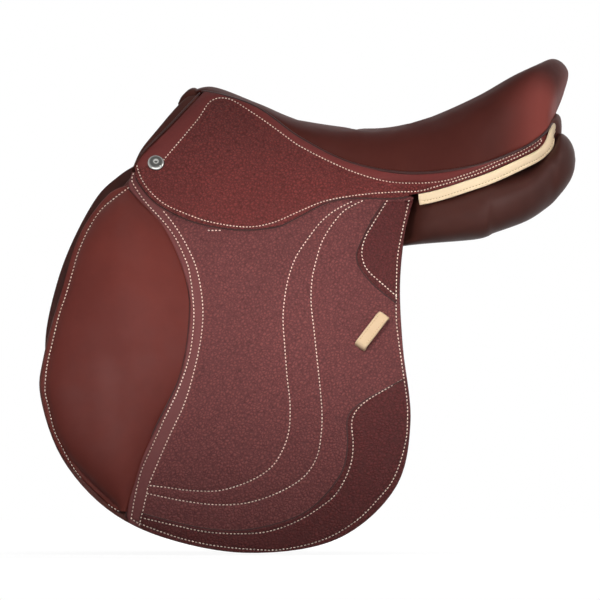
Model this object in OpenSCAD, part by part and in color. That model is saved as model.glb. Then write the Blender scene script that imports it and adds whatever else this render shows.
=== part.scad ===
// Jumping saddle: a rigid tree under a padded seat, lifting skirts and flaps,
// girth billets on webs, stirrup bars with turning catches, and two panels.
// Millimetres. X runs from pommel to cantle, the left side is at -Y, Z is up.
// The origin lies between the panels, on the level where they bear on the back.

/* [Seat] */
// Height of the pommel's top
pommel_h = 165; // [160:1:172]
// Height of the seat's lowest point
dip_h = 120; // [116:1:126]
// Height of the cantle's top
cantle_h = 195; // [188:1:206]
// Length from the pommel's top to the cantle's top
seat_span = 372; // [366:1:384]
// Half width of the seat at the pommel seam
pommel_half = 30; // [28:1:34]
// Half width of the seat at the waist seam
waist_half = 68; // [64:1:72]
// Half width of the seat at its widest seam
seat_half = 132; // [126:1:138]
// Depth of the seat's middle below its rim
dish = 9; // [4:1:12]
// Thickness of the seat leather
cover_t = 2.2; // [1.6:0.1:2.6]
// Thickness of the seat foam
foam_t = 11; // [8:0.5:11.5]

/* [Skirts and flaps] */
// Half width of the saddle at the line where skirt and flap fold
fold_half = 102; // [101:0.5:104]
// Thickness of the skirt leather
skirt_t = 3; // [2.4:0.1:3.2]
// Thickness of the grained flap panel
overlay_t = 1.8; // [1.4:0.1:2]
// Thickness of the flap base
flap_t = 3; // [2.4:0.1:3.4]
// Width of the flap from knee block to rear edge
flap_w = 396; // [388:1:404]
// Depth of the flap below the fold
flap_drop = 396; // [386:1:406]
// Depth of the skirt lobe below the fold
lobe_drop = 52; // [51:0.5:60]
// Thickness of the sweat flap
sweat_t = 3; // [2.4:0.1:3.4]

/* [Knee blocks and keepers] */
// Rise of the knee block above the flap base
block_rise = 22; // [14:1:28]
// Thickness of the knee block leather
block_cover_t = 1.8; // [1.4:0.1:2]
// Length of the leather keeper
keeper_len = 46; // [42:1:52]
// Width of the leather keeper's strap
keeper_w = 13; // [10:1:16]
// Clear height of the leather keeper
keeper_gap = 6.5; // [6:0.5:9]

/* [Cantle band] */
// Height of the cantle band
band_h = 12; // [8:0.5:13]
// Thickness of the cantle band
band_t = 2.5; // [2:0.1:3]

/* [Panels] */
// Share of the panel's drawn thickness
panel_fill = 1; // [0.94:0.01:1.02]
// Thickness of the panel leather
panel_cover_t = 2; // [1.5:0.1:2.6]

/* [Stirrup bars] */
// Length of the stirrup bar
bar_len = 80; // [76:1:86]
// Height of the stirrup bar
bar_h = 10; // [8:0.5:11]
// Thickness of the stirrup bar
bar_t = 3.6; // [3.2:0.1:4]
// Length of the catch beyond its pin
catch_len = 22; // [18:1:25]
// Radius of the catch pin
pin_r = 1.6; // [1.3:0.1:2]

/* [Billets] */
// Width of a girth billet
billet_w = 26; // [22:1:30]
// Length of a girth billet
billet_len = 245; // [225:1:260]
// Thickness of a girth billet
billet_t = 3.4; // [2.8:0.1:3.8]
// Number of punched holes in a girth billet
billet_holes = 7; // [5:1:8]
// Radius of a punched hole
hole_r = 2.5; // [2:0.1:3]

/* [Tree] */
// Thickness of the rails and their points
rail_t = 7.5; // [7:0.1:8]
// Thickness of the steel plates and springs
plate_t = 2; // [1.6:0.1:2.2]
// Width of the head arch along the saddle
head_w = 36; // [30:1:40]

/* [Hidden] */

// Gap left between pieces that lie on each other
lay = 0.3;
// Radius of the curve in which flaps and sweat flaps hang
drape_r = 1000;
// Facets round the full drape circle
drape_fn = 720;
// Length of the drape cylinders
drape_len = 900;
// Facets of pins, holes and rivets
round_fn = 32;
// A point on the fold line, its fall towards the rear and the flap's tilt there
fold_x = -30;
fold_z = 62;
fold_slope = 5;
fold_tilt = 28;
// Half width and tilt of the sweat flap on the same level
sweat_half = fold_half - 32;
sweat_tilt = 30.2;
// Free strip under the fold line
fold_gap = 2.4;

// Place of the pommel's and the cantle's top along the saddle
pommel_x = -101;
cantle_x = pommel_x + seat_span;
dip_x = pommel_x + 0.446 * seat_span;

function mix(a, b, f) = a + (b - a) * f;
function unit(p) = p / norm(p);
function ease(f) = let (g = min(1, max(0, f))) g * g * (3 - 2 * g);
function steps(a, b, n) = [for (k = [0:n]) mix(a, b, k / n)];

// Smooth curve through the points of a list, at a place counted in points
function spline(p, t) =
  let (n = len(p) - 1,
       i = max(0, min(floor(t), n - 1)),
       f = t - i,
       a = p[max(i - 1, 0)],
       b = p[i],
       c = p[i + 1],
       d = p[min(i + 2, n)])
  0.5 * (2 * b + (c - a) * f + (2 * a - 5 * b + 4 * c - d) * f * f + (3 * b - a - 3 * c + d) * f * f * f);
function curve(p, n) = [for (k = [0:(len(p) - 1) * n]) spline(p, k / n)];

// Closed skin between an outer and an inner grid of points
module sheet(outer, inner) {
  rows = len(outer);
  cols = len(outer[0]);
  all = rows * cols;
  function at(i, j) = i * cols + j;
  points = concat([for (r = outer) each r], [for (r = inner) each r]);
  top = [for (i = [0:rows - 2], j = [0:cols - 2], h = [0, 1])
    h == 0 ? [at(i, j), at(i, j + 1), at(i + 1, j + 1)] : [at(i, j), at(i + 1, j + 1), at(i + 1, j)]];
  bottom = [for (f = top) [all + f[0], all + f[2], all + f[1]]];
  last = rows - 1;
  ends = [for (j = [0:cols - 2], h = [0:3])
    h == 0 ? [at(0, j + 1), at(0, j), all + at(0, j)]
    : h == 1 ? [at(0, j + 1), all + at(0, j), all + at(0, j + 1)]
    : h == 2 ? [at(last, j), at(last, j + 1), all + at(last, j + 1)]
    : [at(last, j), all + at(last, j + 1), all + at(last, j)]];
  edge = cols - 1;
  sides = [for (i = [0:rows - 2], h = [0:3])
    h == 0 ? [at(i, 0), at(i + 1, 0), all + at(i + 1, 0)]
    : h == 1 ? [at(i, 0), all + at(i + 1, 0), all + at(i, 0)]
    : h == 2 ? [at(i + 1, edge), at(i, edge), all + at(i, edge)]
    : [at(i + 1, edge), all + at(i, edge), all + at(i + 1, edge)]];
  polyhedron(points, concat(top, bottom, ends, sides));
}

// Closed body through a row of rings with equal numbers of points
module loft(rings) {
  count = len(rings);
  m = len(rings[0]);
  function at(k, j) = k * m + j % m;
  wall = [for (k = [0:count - 2], j = [0:m - 1], h = [0, 1])
    h == 0 ? [at(k, j), at(k + 1, j), at(k + 1, j + 1)] : [at(k, j), at(k + 1, j + 1), at(k, j + 1)]];
  front = [for (j = [1:m - 2]) [0, j, j + 1]];
  back = [for (j = [1:m - 2]) [at(count - 1, 0), at(count - 1, j + 1), at(count - 1, j)]];
  polyhedron([for (r = rings) each r], concat(wall, front, back));
}

module on_right() {
  mirror([0, 1, 0]) children();
}

// Middle line of the seat from the pommel's lip to the cantle's foot, along and up
center_line = [
  [pommel_x - 20, pommel_h - 7],
  [pommel_x + 7, pommel_h],
  [mix(pommel_x, dip_x, 0.34), mix(pommel_h, dip_h, 0.4)],
  [mix(pommel_x, dip_x, 0.62), mix(pommel_h, dip_h, 0.81)],
  [dip_x, dip_h],
  [mix(dip_x, cantle_x, 0.31), mix(dip_h, cantle_h, 0.115) - 0.4 * dish],
  [mix(dip_x, cantle_x, 0.62), mix(dip_h, cantle_h, 0.5) - dish],
  [mix(dip_x, cantle_x, 0.87), mix(dip_h, cantle_h, 0.9) - 0.6 * dish],
  [cantle_x + 1, cantle_h],
  [cantle_x + 17, cantle_h - 13],
  [cantle_x + 12.5, cantle_h - 37],
  [cantle_x + 3.2, cantle_h - 60.3]];

function along(f) = pommel_x + f * seat_span;

// Seam of the seat on the left side, matched to the middle line point by point
seam_line = [
  [pommel_x - 16, 6 - pommel_half, pommel_h - 13],
  [pommel_x - 2, -pommel_half, pommel_h - 5],
  [along(0.142), -mix(pommel_half, waist_half, 0.5), pommel_h - 21],
  [along(0.272), -waist_half, dip_h - 10],
  [along(0.419), -waist_half - 14, dip_h - 37],
  [along(0.594), -mix(waist_half, seat_half, 0.6), dip_h - 48],
  [along(0.769), 2 - seat_half, dip_h - 41],
  [along(0.903), 10 - seat_half, cantle_h - 98],
  [along(0.966), -0.79 * seat_half, cantle_h - 83],
  [along(0.989), -0.71 * seat_half, cantle_h - 73],
  [along(1.003), -0.48 * seat_half, cantle_h - 64],
  [along(1.008), -0.18 * seat_half, cantle_h - 60.5]];
seam_end = len(seam_line) - 1;

// How full the seat's cross line is at each point, and the share of the rim's rise
fullness = [1, 1, 0.95, 0.9, 0.8, 0.68, 0.6, 0.6, 0.7, 0.9, 1, 1];
rim_share = [0, 0, 0, 0, 0.2, 0.7, 1, 0.7, 0, 0, 0, 0];
rim_h = 1.8 * dish;
nudge = 0.02;

function center_normal(t) =
  let (d = unit(spline(center_line, min(t + nudge, seam_end)) - spline(center_line, max(t - nudge, 0))))
  [-d.y, d.x];
function seam_inward(t) =
  let (d = spline(seam_line, min(t + nudge, seam_end)) - spline(seam_line, max(t - nudge, 0)))
  unit([-d.y, d.x, 0]);

// Point of the seat at a place along it, across it (0 left seam, 2 right seam) and inside it
function seat_pt(t, v, inside) =
  let (q = v <= 1 ? v : 2 - v,
       side = v <= 1 ? 1 : -1,
       c = spline(center_line, t) - inside * center_normal(t),
       s = spline(seam_line, t) + inside * seam_inward(t),
       e = spline(fullness, t),
       w = pow(cos(90 * q), e),
       r = pow(sin(90 * q), e))
  [mix(s.x, c.x, 1 - w * w),
   side * s.y * w,
   mix(s.z, c.y, r) + spline(rim_share, t) * rim_h * pow(sin(180 * q), 2)];
function seat_grid(ts, vs, inside) = [for (t = ts) [for (v = vs) seat_pt(t, v, inside)]];

seat_rows = 26;
seat_half_cols = 9;
seat_bend = 1.35;
function across(n) =
  concat([for (k = [0:n]) pow(k / n, seat_bend)], [for (k = [n - 1:-1:0]) 2 - pow(k / n, seat_bend)]);
foam_in = cover_t + lay + foam_t;

seat_ts = steps(0, seam_end, seat_rows);
seat_vs = across(seat_half_cols);
function inner(list) = [for (k = [1:len(list) - 2]) list[k]];

module seat_cover() {
  color("#3b2420") sheet(seat_grid(seat_ts, seat_vs, 0), seat_grid(seat_ts, seat_vs, cover_t));
}

module seat_foam() {
  ts = inner(seat_ts);
  vs = inner(seat_vs);
  color("#d8c9a0") sheet(seat_grid(ts, vs, cover_t + lay), seat_grid(ts, vs, foam_in));
}

// Depths of the two layers of seat web under the seat's face
seat_web_t = 1.5;
long_web_in = foam_in + 0.9;
cross_web_in = long_web_in + seat_web_t + 0.6;
module seat_web_long() {
  ts = steps(1.9, 6.9, 16);
  vs = steps(0.74, 1.26, 4);
  color("#e0d8c0") sheet(seat_grid(ts, vs, long_web_in), seat_grid(ts, vs, long_web_in + seat_web_t));
}

module seat_web_cross() {
  vs = steps(0.18, 1.82, 12);
  color("#e0d8c0") for (t = [3.1, 4.4]) {
    ts = steps(t, t + 0.4, 2);
    sheet(seat_grid(ts, vs, cross_web_in), seat_grid(ts, vs, cross_web_in + seat_web_t));
  }
}

module tree_cantle() {
  cantle_in = foam_in + 1.6;
  slack = 0.2;
  bar_ts = steps(4.95, 8, 10);
  bar_vs = steps(0.04, 0.5, 4);
  back_ts = steps(7, 8, 4);
  back_vs = steps(0.46, 1.54, 8);
  module side_bar() {
    sheet(seat_grid(bar_ts, bar_vs, cantle_in), seat_grid(bar_ts, bar_vs, cantle_in + rail_t));
    foot();
  }
  // Foot of a side bar, on the rear end of its rail
  module foot() {
    pad_foot = -rail_up - lay;
    pad_top = pad_foot - 4;
    hull() {
      for (v = [bar_vs[0], bar_vs[1]], depth = [1, rail_t - 1])
        translate(seat_pt(bar_ts[0] + nudge, v, cantle_in + depth)) cube(1, center = true);
      sweat_sheet([under_fold(94, pad_foot), under_fold(108, pad_foot), under_fold(108, pad_top),
        under_fold(94, pad_top)], rail_out + 1, rail_in - 1);
    }
  }
  color("#b58a5a") union() {
    side_bar();
    on_right() side_bar();
    sheet(seat_grid(back_ts, back_vs, cantle_in + slack),
          seat_grid(back_ts, back_vs, cantle_in + rail_t - slack));
  }
}

// Fold line of skirt and flap: height at a place along the saddle, and distance above it
function fold_height(x) = fold_z - (x - fold_x) * tan(fold_slope);
function above_fold(x, z) = (x - fold_x) * sin(fold_slope) + (z - fold_z) * cos(fold_slope);
function drape_y(x, z, half, tilt, depth) =
  let (up = above_fold(x, z) + drape_r * sin(tilt))
  drape_r * cos(tilt) - half - sqrt(pow(drape_r - depth, 2) - up * up);
function flap_y(x, z, depth) = drape_y(x, z, fold_half, fold_tilt, depth);
function sweat_y(x, z, depth) = drape_y(x, z, sweat_half, sweat_tilt, depth);

// Frames on the left fold line: x along it, y inwards, z up the leather
module fold_frame(half, tilt) {
  translate([fold_x, -half, fold_z]) rotate([0, fold_slope, 0]) rotate([-tilt, 0, 0]) children();
}

module drape_shell(half, tilt, from, to) {
  fold_frame(half, tilt) translate([0, drape_r, 0]) rotate([0, 90, 0]) difference() {
    cylinder(r = drape_r - from, h = drape_len, center = true, $fn = drape_fn);
    cylinder(r = drape_r - to, h = drape_len + 2, center = true, $fn = drape_fn);
  }
}

prism_depth = 330;
module side_prism(points) {
  rotate([90, 0, 0]) linear_extrude(prism_depth) polygon(points);
}

module flap_sheet(points, from, to) {
  intersection() {
    side_prism(points);
    drape_shell(fold_half, fold_tilt, from, to);
  }
}

module sweat_sheet(points, from, to) {
  intersection() {
    side_prism(points);
    drape_shell(sweat_half, sweat_tilt, from, to);
  }
}

// Depths of the layers below the skirt's outer face
overlay_in = skirt_t + lay;
base_in = overlay_in + overlay_t + 0.2;
flap_in = base_in + flap_t;

// Fixed upper skirt: fold line places for seam points 1 to 5, then the tail's width
fold_places = [-177, -95, -20, 48, 118];
tail_widths = [23, 13, 9.5, 10.5, 1.2, 0.8, 0.8];
tail_from = 5;
// Forward bow of the skirt's front edge, and fullness of its corner at the fold
front_bow = 3;
front_corner = 5;
tail_end = 8.05;
function tail_w(t) = spline(tail_widths, max(0, t - tail_from));
function skirt_foot(t) =
  let (x = spline(fold_places, min(t, tail_from) - 1),
       s = spline(seam_line, t))
  mix([x, -fold_half, fold_height(x)], s - [0, 1.5, tail_w(t)], ease((t - 4.6) / 0.9));
function skirt_pt(t, v) =
  let (b = skirt_foot(t),
       s = spline(seam_line, t),
       rise = 0.42 * norm(s - b),
       share = rise * cos(fold_tilt) / max(1, s.z - b.z),
       drawn = [mix(b.x, s.x, min(1, share)) - front_bow * ease(2 - t), b.y + rise * sin(fold_tilt),
         b.z + rise * cos(fold_tilt)],
       mid = mix(drawn, (b + s) / 2 - [0, 1, 0], ease((t - 4.6) / 0.9)))
  (1 - v) * (1 - v) * b + 2 * v * (1 - v) * mid + v * v * s
    - [15 * front_corner * ease(2 - t) * v * pow(1 - v, 5), 0, 0];
function skirt_normal(t, v) =
  unit(cross(skirt_pt(t, v + nudge) - skirt_pt(t, v - nudge),
             skirt_pt(t + nudge, v) - skirt_pt(t - nudge, v)));
function skirt_in(t, v, depth) = skirt_pt(t, v) + depth * skirt_normal(t, v);

module skirt_top_left() {
  ts = steps(1, tail_end, 22);
  vs = steps(0.02, 0.97, 6);
  color("#5a2a28") sheet([for (t = ts) [for (v = vs) skirt_in(t, v, 0)]],
                         [for (t = ts) [for (v = vs) skirt_in(t, v, skirt_t)]]);
}

// Domed nail with a dimple, on the skirt near its front edge
nail_r = 9;
nail_h = 4;
nail_place = [1.3, 0.1];
module pommel_nail_left() {
  p = skirt_in(nail_place.x, nail_place.y, -lay);
  n = skirt_normal(nail_place.x, nail_place.y);
  lean = atan2(-n.z, n.y);
  color("#c8c8c8") translate(p) rotate([-lean, 0, atan2(-n.x, n.y)]) rotate([90, 0, 0])
    rotate_extrude($fn = round_fn)
      polygon(concat([[0, 0], [nail_r, 0], [nail_r, 0.8]],
                     [for (a = [20:10:70]) [nail_r * cos(a), 0.6 + (nail_h - 0.6) * sin(a)]],
                     [[2.2, nail_h], [1.2, nail_h - 0.8], [0, nail_h - 0.9]]));
}

// Leather roll on the front of the head, from fold to fold
// Its forward width from the fold up to the middle of the head
facing_ws = [1.5, 7, 12, 14.5, 14, 7, 4, 2.5];
facing_t = 0.145 * pommel_h;
facing_skin = 2.2;
module pommel_facing() {
  foot = [for (v = [0.03, 0.25, 0.5, 0.75, 0.93]) skirt_pt(1, v) - [1.6, 0, 0]];
  lip = [seat_pt(0, 0, 0) - [2, 0, 0.5], seat_pt(0, 0.5, 0) - [2, 0, 0], seat_pt(0, 1, 0) - [2, 0, 0]];
  half = curve(concat(foot, lip), 3);
  last = len(half) - 1;
  path = concat(half, [for (k = [last - 1:-1:0]) [half[k].x, -half[k].y, half[k].z]]);
  n = len(path) - 1;
  function inward(k) =
    let (d = path[min(k + 1, n)] - path[max(k - 1, 0)]) unit([0, d.z, -d.y]);
  ws = curve(facing_ws, 3);
  function ring(k) = let (i = inward(k), p = path[k], w = ws[min(k, n - k)])
    [p, p - [0.5 * w, 0, 0] + 0.7 * i, p - [w, 0, 0] + 3.5 * i, p - [w - 2, 0, 0] + facing_t * i];
  function back(k) = let (i = inward(k), p = path[k], w = ws[min(k, n - k)] - facing_skin)
    [p + facing_skin * i, p - [max(0, 0.5 * w), 0, 0] + 3.2 * i, p - [max(0.3, w), 0, 0] + 5.4 * i,
     p - [w - 2, 0, 0] + facing_t * i];
  color("#33201c") sheet([for (j = [0:3]) [for (k = [0:n]) ring(k)[3 - j]]],
                         [for (j = [0:3]) [for (k = [0:n]) back(k)[3 - j]]]);
}

// Cream band under the skirt tails, round the cantle's back
band_from = 5.12;
function band_top(t) = spline(seam_line, t) - 2.2 * seam_inward(t) - [0, 0, tail_w(t) + lay];
function band_up(t) =
  unit(cross(band_top(min(t + nudge, seam_end)) - band_top(t - nudge), seam_inward(t)));
function band_mid(t) = band_top(t) - band_h / 2 * band_up(t);
function mirrored(p) = [p.x, -p.y, p.z];
module cantle_band() {
  n = 36;
  ts = steps(band_from, seam_end, n);
  hs = [-0.5, -0.3, 0, 0.3, 0.5];
  bulge = [0, 0.7, 1, 0.7, 0];
  function row(t, depth) = [for (j = [0:4])
    band_mid(t) + hs[j] * band_h * band_up(t)
      + (depth - (depth == 0 ? 0.8 * bulge[j] : 0)) * seam_inward(t)];
  function rows(depth) = concat([for (t = ts) row(t, depth)],
    [for (k = [n:-1:0]) [for (p = row(ts[k], depth)) mirrored(p)]]);
  color("#e6d2a4") sheet(rows(0), rows(band_t));
}

// Dark piece that closes the middle of the cantle's back, over the band and down to the panels
module rear_facing() {
  ts = steps(10.45, seam_end, 6);
  hs = [-22, -15, -9, -3, 3, 6.5, 9.5];
  outs = [1.4, 3.2, 4.4, 5, 4.8, 3.6, 1.5];
  function row(t, depth) = [for (j = [0:len(hs) - 1])
    band_mid(t) + [0, 0, hs[j]] - (outs[j] - depth) * seam_inward(t)];
  function rows(depth) = concat([for (t = ts) row(t, depth)],
    [for (k = [6:-1:0]) [for (p = row(ts[k], depth)) mirrored(p)]]);
  color("#33201c") sheet(rows(0), rows(facing_skin));
}

// Flap drawing: points in millimetres from the fold point, scaled to the flap's size
drawn_w = 396;
drawn_drop = 396;
function flap_xz(p) = [fold_x + p.x * flap_w / drawn_w, fold_z + p.y * flap_drop / drawn_drop];
function flap_curve(p, n) = [for (q = curve(p, n)) flap_xz(q)];
function under_fold(x, drop) = [x, fold_height(x) - drop];

// Front of the knee block, foot of the flap and its rear edge, S edge behind the block
rim = [[-152, 4], [-171, -19], [-203, -60], [-227, -124], [-244, -187], [-247, -230], [-224, -295],
  [-176, -349], [-111, -381], [-23, -396], [69, -381.5], [131, -328], [148, -257], [140, -177], [137, -112],
  [142, -57], [152, -17]];
foot_at = 7.4;
upper_at = 14.22;
lower_at = 12.58;
function rim_part(from, to) =
  [for (t = steps(from, to, ceil((to - from) * curve_n))) flap_xz(spline(rim, t))];
s_edge = [[-152, 4], [-151, -10], [-115, -51], [-93, -102], [-88, -142], [-98, -207], [-127, -269],
  [-149, -318], [-155, -357]];
upper_cut = [[121, -21], [108, -40], [95, -66], [91, -79], [95, -93], [110, -111], [133, -129]];
lower_cut = [[142, -211], [117, -224], [92, -239], [81, -254], [81, -284], [75, -310], [56, -336], [34, -354],
  [2, -366], [-31, -372], [-64, -371], [-97, -365], [-139, -354]];

// Recess in the flap's top that leaves the stirrup bar free
recess_from = -145;
recess_to = -26;
recess_drop = 36;
recess_round = 8;
function recess_corner(x, side, a) =
  under_fold(x + side * recess_round * (1 - cos(a)), recess_drop - recess_round * (1 - sin(a)));
function recess() =
  concat([under_fold(recess_to, fold_gap)],
         [for (a = [0:30:90]) recess_corner(recess_to, -1, a)],
         [for (a = [90:-30:0]) recess_corner(recess_from, 1, a)],
         [under_fold(recess_from, fold_gap)]);
flap_top_from = -180;
flap_top_to = 121;
function flap_top() =
  concat([under_fold(flap_top_to, fold_gap)], recess(), [under_fold(flap_top_from, fold_gap)]);

curve_n = 4;
module flap_base_left() {
  color("#4c2422") flap_sheet(concat(rim_part(0, len(rim) - 1), flap_top()), base_in, flap_in);
}

module flap_panel_left() {
  outline = concat(flap_curve(s_edge, curve_n), rim_part(foot_at, len(rim) - 1), flap_top());
  color("#5e2e2c") flap_sheet(outline, overlay_in, overlay_in + overlay_t);
}

// Overlays at the rear edge lie on the panel
patch_t = 1.5;
module upper_patch_left() {
  color("#5e2e2c") flap_sheet(concat(rim_part(upper_at, len(rim) - 1.12), flap_curve(upper_cut, curve_n)),
    overlay_in - lay - patch_t, overlay_in - lay);
}

module lower_patch_left() {
  color("#5e2e2c") flap_sheet(concat(flap_curve(lower_cut, curve_n), rim_part(foot_at + 0.2, lower_at)),
    overlay_in - lay - patch_t, overlay_in - lay);
}

keeper_place = [107, -160];
keeper_turn = 53;
keeper_t = 2.2;
keeper_foot = 7;
module keeper_left() {
  p = flap_xz(keeper_place);
  lean = asin((above_fold(p.x, p.y) + drape_r * sin(fold_tilt)) / drape_r);
  half = keeper_len / 2;
  color("#e6d2a4") translate([p.x, flap_y(p.x, p.y, overlay_in - lay), p.y])
    rotate([0, fold_slope, 0]) rotate([-lean, 0, 0]) rotate([0, -keeper_turn, 0])
    translate([0, 0, -keeper_w / 2]) linear_extrude(keeper_w)
      polygon([[-half, 0], [-half, -keeper_t], [keeper_foot - half - 1, -keeper_gap - keeper_t],
               [half - keeper_foot + 1, -keeper_gap - keeper_t], [half, -keeper_t], [half, 0],
               [half - keeper_foot, 0], [half - keeper_foot - 1, -keeper_gap],
               [keeper_foot - half + 1, -keeper_gap], [keeper_foot - half, 0]]);
}

// Padded knee block: rows run down its length, columns from front edge to S edge
block_rows = 16;
block_cols = 10;
block_front = [[-151, -8], [-170, -22], [-201, -61], [-225, -124], [-242, -187], [-245, -230], [-223, -293],
  [-168, -351]];
block_rear = [[-153, -18], [-142, -31], [-119, -54], [-97, -98], [-91, -142], [-101, -207], [-131, -269],
  [-160, -346]];
block_end = len(block_front) - 1;
// Height of the block's sewn edge
block_edge = 2.4;
block_rs = steps(1, 0, block_rows);
block_cs = steps(0, 1, block_cols);
function block_xz(r, c) =
  flap_xz(mix(spline(block_front, r * block_end), spline(block_rear, r * block_end), c));
function block_swell(r, c) = pow(sin(180 * c), 0.7) * pow(sin(180 * mix(0.03, 0.97, r)), 0.6);
function block_height(r, c) = mix(block_edge, block_rise, block_swell(r, c));
function block_at(p, height) = [p.x, flap_y(p.x, p.y, base_in - lay - height), p.y];
function block_top(rs, cs, drop) =
  [for (c = cs) [for (r = rs) block_at(block_xz(r, c), block_height(r, c) - drop)]];
function block_bottom(rs, cs) = [for (c = cs) [for (r = rs) block_at(block_xz(r, c), 0)]];

module knee_cover_left() {
  color("#6a2c24") sheet(block_top(block_rs, block_cs, 0), block_top(block_rs, block_cs, block_cover_t));
}

module knee_foam_left() {
  rs = inner(block_rs);
  cs = inner(block_cs);
  color("#d8c9a0") sheet(block_top(rs, cs, block_cover_t + lay), block_bottom(rs, cs));
}

// Hinged lower part of the skirt
lobe_drawn = 52;
lobe_edge = [[-177, 3.5], [-172, 14], [-160, 28], [-145, 38], [-116, 49], [-83, 53.5], [-56, 53], [-25, 47],
  [-5, 36.5], [20, 21], [41, 12], [62, 8.5], [84, 7], [100, 5]];
lobe_first = lobe_edge[0].x;
lobe_last = lobe_edge[len(lobe_edge) - 1].x;
module skirt_lobe_left() {
  edge = [for (p = curve(lobe_edge, 3)) under_fold(p.x, p.y * lobe_drop / lobe_drawn)];
  top = [under_fold(lobe_last, fold_gap), under_fold(lobe_first, fold_gap)];
  color("#5a2a28") flap_sheet(concat(edge, top), 0, skirt_t);
}

// Sweat flap: its front edge shows beside the knee block
sweat_front = [[-149, 17], [-164, 7], [-187, -15], [-212, -60], [-230, -108], [-242, -166], [-237, -215],
  [-212, -283], [-166, -334], [-100, -366], [-20, -379], [60, -366], [116, -318], [135, -257], [127, -177],
  [124, -112], [128, -57], [134, -24]];
sweat_top = [under_fold(104, 3), under_fold(-178, 3)];
module sweat_flap_left() {
  color("#33201c") sweat_sheet(concat(flap_curve(sweat_front, curve_n), sweat_top), 0, sweat_t);
}

// Rails of the tree with a point at the front that goes into a pocket
rail_in = -2;
rail_out = rail_in - rail_t;
point_from = -152;
point_to = -116;
point_drop = 78;
// Foot of the head arch, on the front ends of the rails
arch_z = 89.3;
rail_top_front = arch_z - lay;
rail_up = 12;
rail_drop = 30;
function point_tip() = [under_fold(point_to, point_drop - 10), under_fold(point_to - 7, point_drop),
  under_fold(point_from + 7, point_drop), under_fold(point_from, point_drop - 10)];
bar_rivets = [-98, -60, -22];
rivet_r = 3;
rivet_fit = 0.1;
module at_rivets() {
  fold_frame(sweat_half, sweat_tilt) for (x = bar_rivets)
    translate([x, 0, -bar_mid]) rotate([90, 0, 0]) children();
}

module tree_rail_left() {
  color("#b58a5a") difference() {
    sweat_sheet(concat([[point_from, rail_top_front], [arch_from + head_w + 2, rail_top_front]],
      [under_fold(-70, -rail_up - 2), under_fold(20, -rail_up), under_fold(110, -rail_up),
       under_fold(110, rail_drop),
       under_fold(20, rail_drop), under_fold(point_to, rail_drop)], point_tip()), rail_out, rail_in);
    at_rivets() cylinder(r = rivet_r + rivet_fit, h = 60, center = true, $fn = round_fn);
  }
}

module spring_left() {
  outline = [under_fold(-62, -11), under_fold(106, -9), under_fold(106, 3), under_fold(-62, 1)];
  color("#8f9296") sweat_sheet(outline, rail_out - lay - plate_t, rail_out - lay);
}

pocket_t = 2;
pocket_rim = 8;
pocket_top = 40;
module point_pocket_left() {
  room = 1;
  first = point_from - pocket_rim;
  last = point_to + pocket_rim;
  outline = [under_fold(first, pocket_top), under_fold(last, pocket_top), under_fold(last, point_drop + 2),
    under_fold(point_to, point_drop + pocket_rim), under_fold(point_from, point_drop + pocket_rim),
    under_fold(first, point_drop + 2)];
  hollow = [under_fold(point_from - room, pocket_top - 5), under_fold(point_to + room, pocket_top - 5),
    under_fold(point_to + room, point_drop - 9), under_fold(point_to - 7, point_drop + room),
    under_fold(point_from + 7, point_drop + room), under_fold(point_from - room, point_drop - 9)];
  color("#4c2422") difference() {
    sweat_sheet(outline, rail_out - room - pocket_t, -lay);
    sweat_sheet(hollow, rail_out - room, 1);
  }
}

// Stirrup bar: a plate on the rail, an arm at its front end and the bar itself
bar_mid = 21;
bar_from = -108;
bar_out = skirt_t + 0.7;
arm_w = 11;
bar_plate_t = 2;
bar_plate_out = rail_out - lay - bar_plate_t;
arm_depth = 12.4;
lap = bar_t / 2;
catch_fit = 0.05;
pin_fit = 0.02;
catch_round = bar_h / 2 - 0.1;
pivot_x = bar_from + bar_len - catch_round - 0.4;
module stirrup_bar_left() {
  plate_top = bar_mid - 10;
  plate_foot = bar_mid + 8;
  plate = [under_fold(-140, plate_top), under_fold(-44, plate_top), under_fold(-44, plate_foot),
    under_fold(-140, plate_foot)];
  color("#9a9da0") difference() {
    union() {
      sweat_sheet(plate, bar_plate_out, rail_out - lay);
      fold_frame(fold_half, fold_tilt) translate([bar_from, bar_out, -bar_mid - bar_h / 2])
        cube([arm_w, arm_depth, bar_h]);
      fold_frame(fold_half, fold_tilt) translate([bar_from, bar_out, -bar_mid - bar_h / 2])
        cube([bar_len, bar_t, bar_h]);
    }
    fold_frame(fold_half, fold_tilt) translate([pivot_x - catch_round - 0.4, bar_out - 1, -bar_mid - bar_h])
      cube([bar_len, 1 + lap, 2 * bar_h]);
    at_pivot() cylinder(r = pin_r + pin_fit, h = 30, center = true, $fn = round_fn);
    at_rivets() cylinder(r = rivet_r + rivet_fit, h = 60, center = true, $fn = round_fn);
  }
}

module at_pivot() {
  fold_frame(fold_half, fold_tilt) translate([pivot_x, bar_out, -bar_mid]) rotate([-90, 0, 0]) children();
}

module catch_pin_left() {
  color("#c8c8c8") at_pivot() cylinder(r = pin_r, h = bar_t, $fn = round_fn);
}

module stirrup_catch_left() {
  tip = 4;
  color("#9a9da0") at_pivot() linear_extrude(lap - 0.2) difference() {
    union() {
      circle(r = catch_round, $fn = round_fn);
      translate([0, 1 - catch_round]) square([catch_len - tip, 2 * catch_round - 2]);
      translate([catch_len - tip, -1]) circle(r = tip, $fn = round_fn);
    }
    circle(r = pin_r + catch_fit, $fn = round_fn);
  }
}

module tree_rivets() {
  module side() {
    color("#8f9296") intersection() {
      at_rivets() cylinder(r = rivet_r, h = 60, center = true, $fn = round_fn);
      drape_shell(sweat_half, sweat_tilt, bar_plate_out, rail_in - lay);
    }
  }
  side();
  on_right() side();
}

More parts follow.
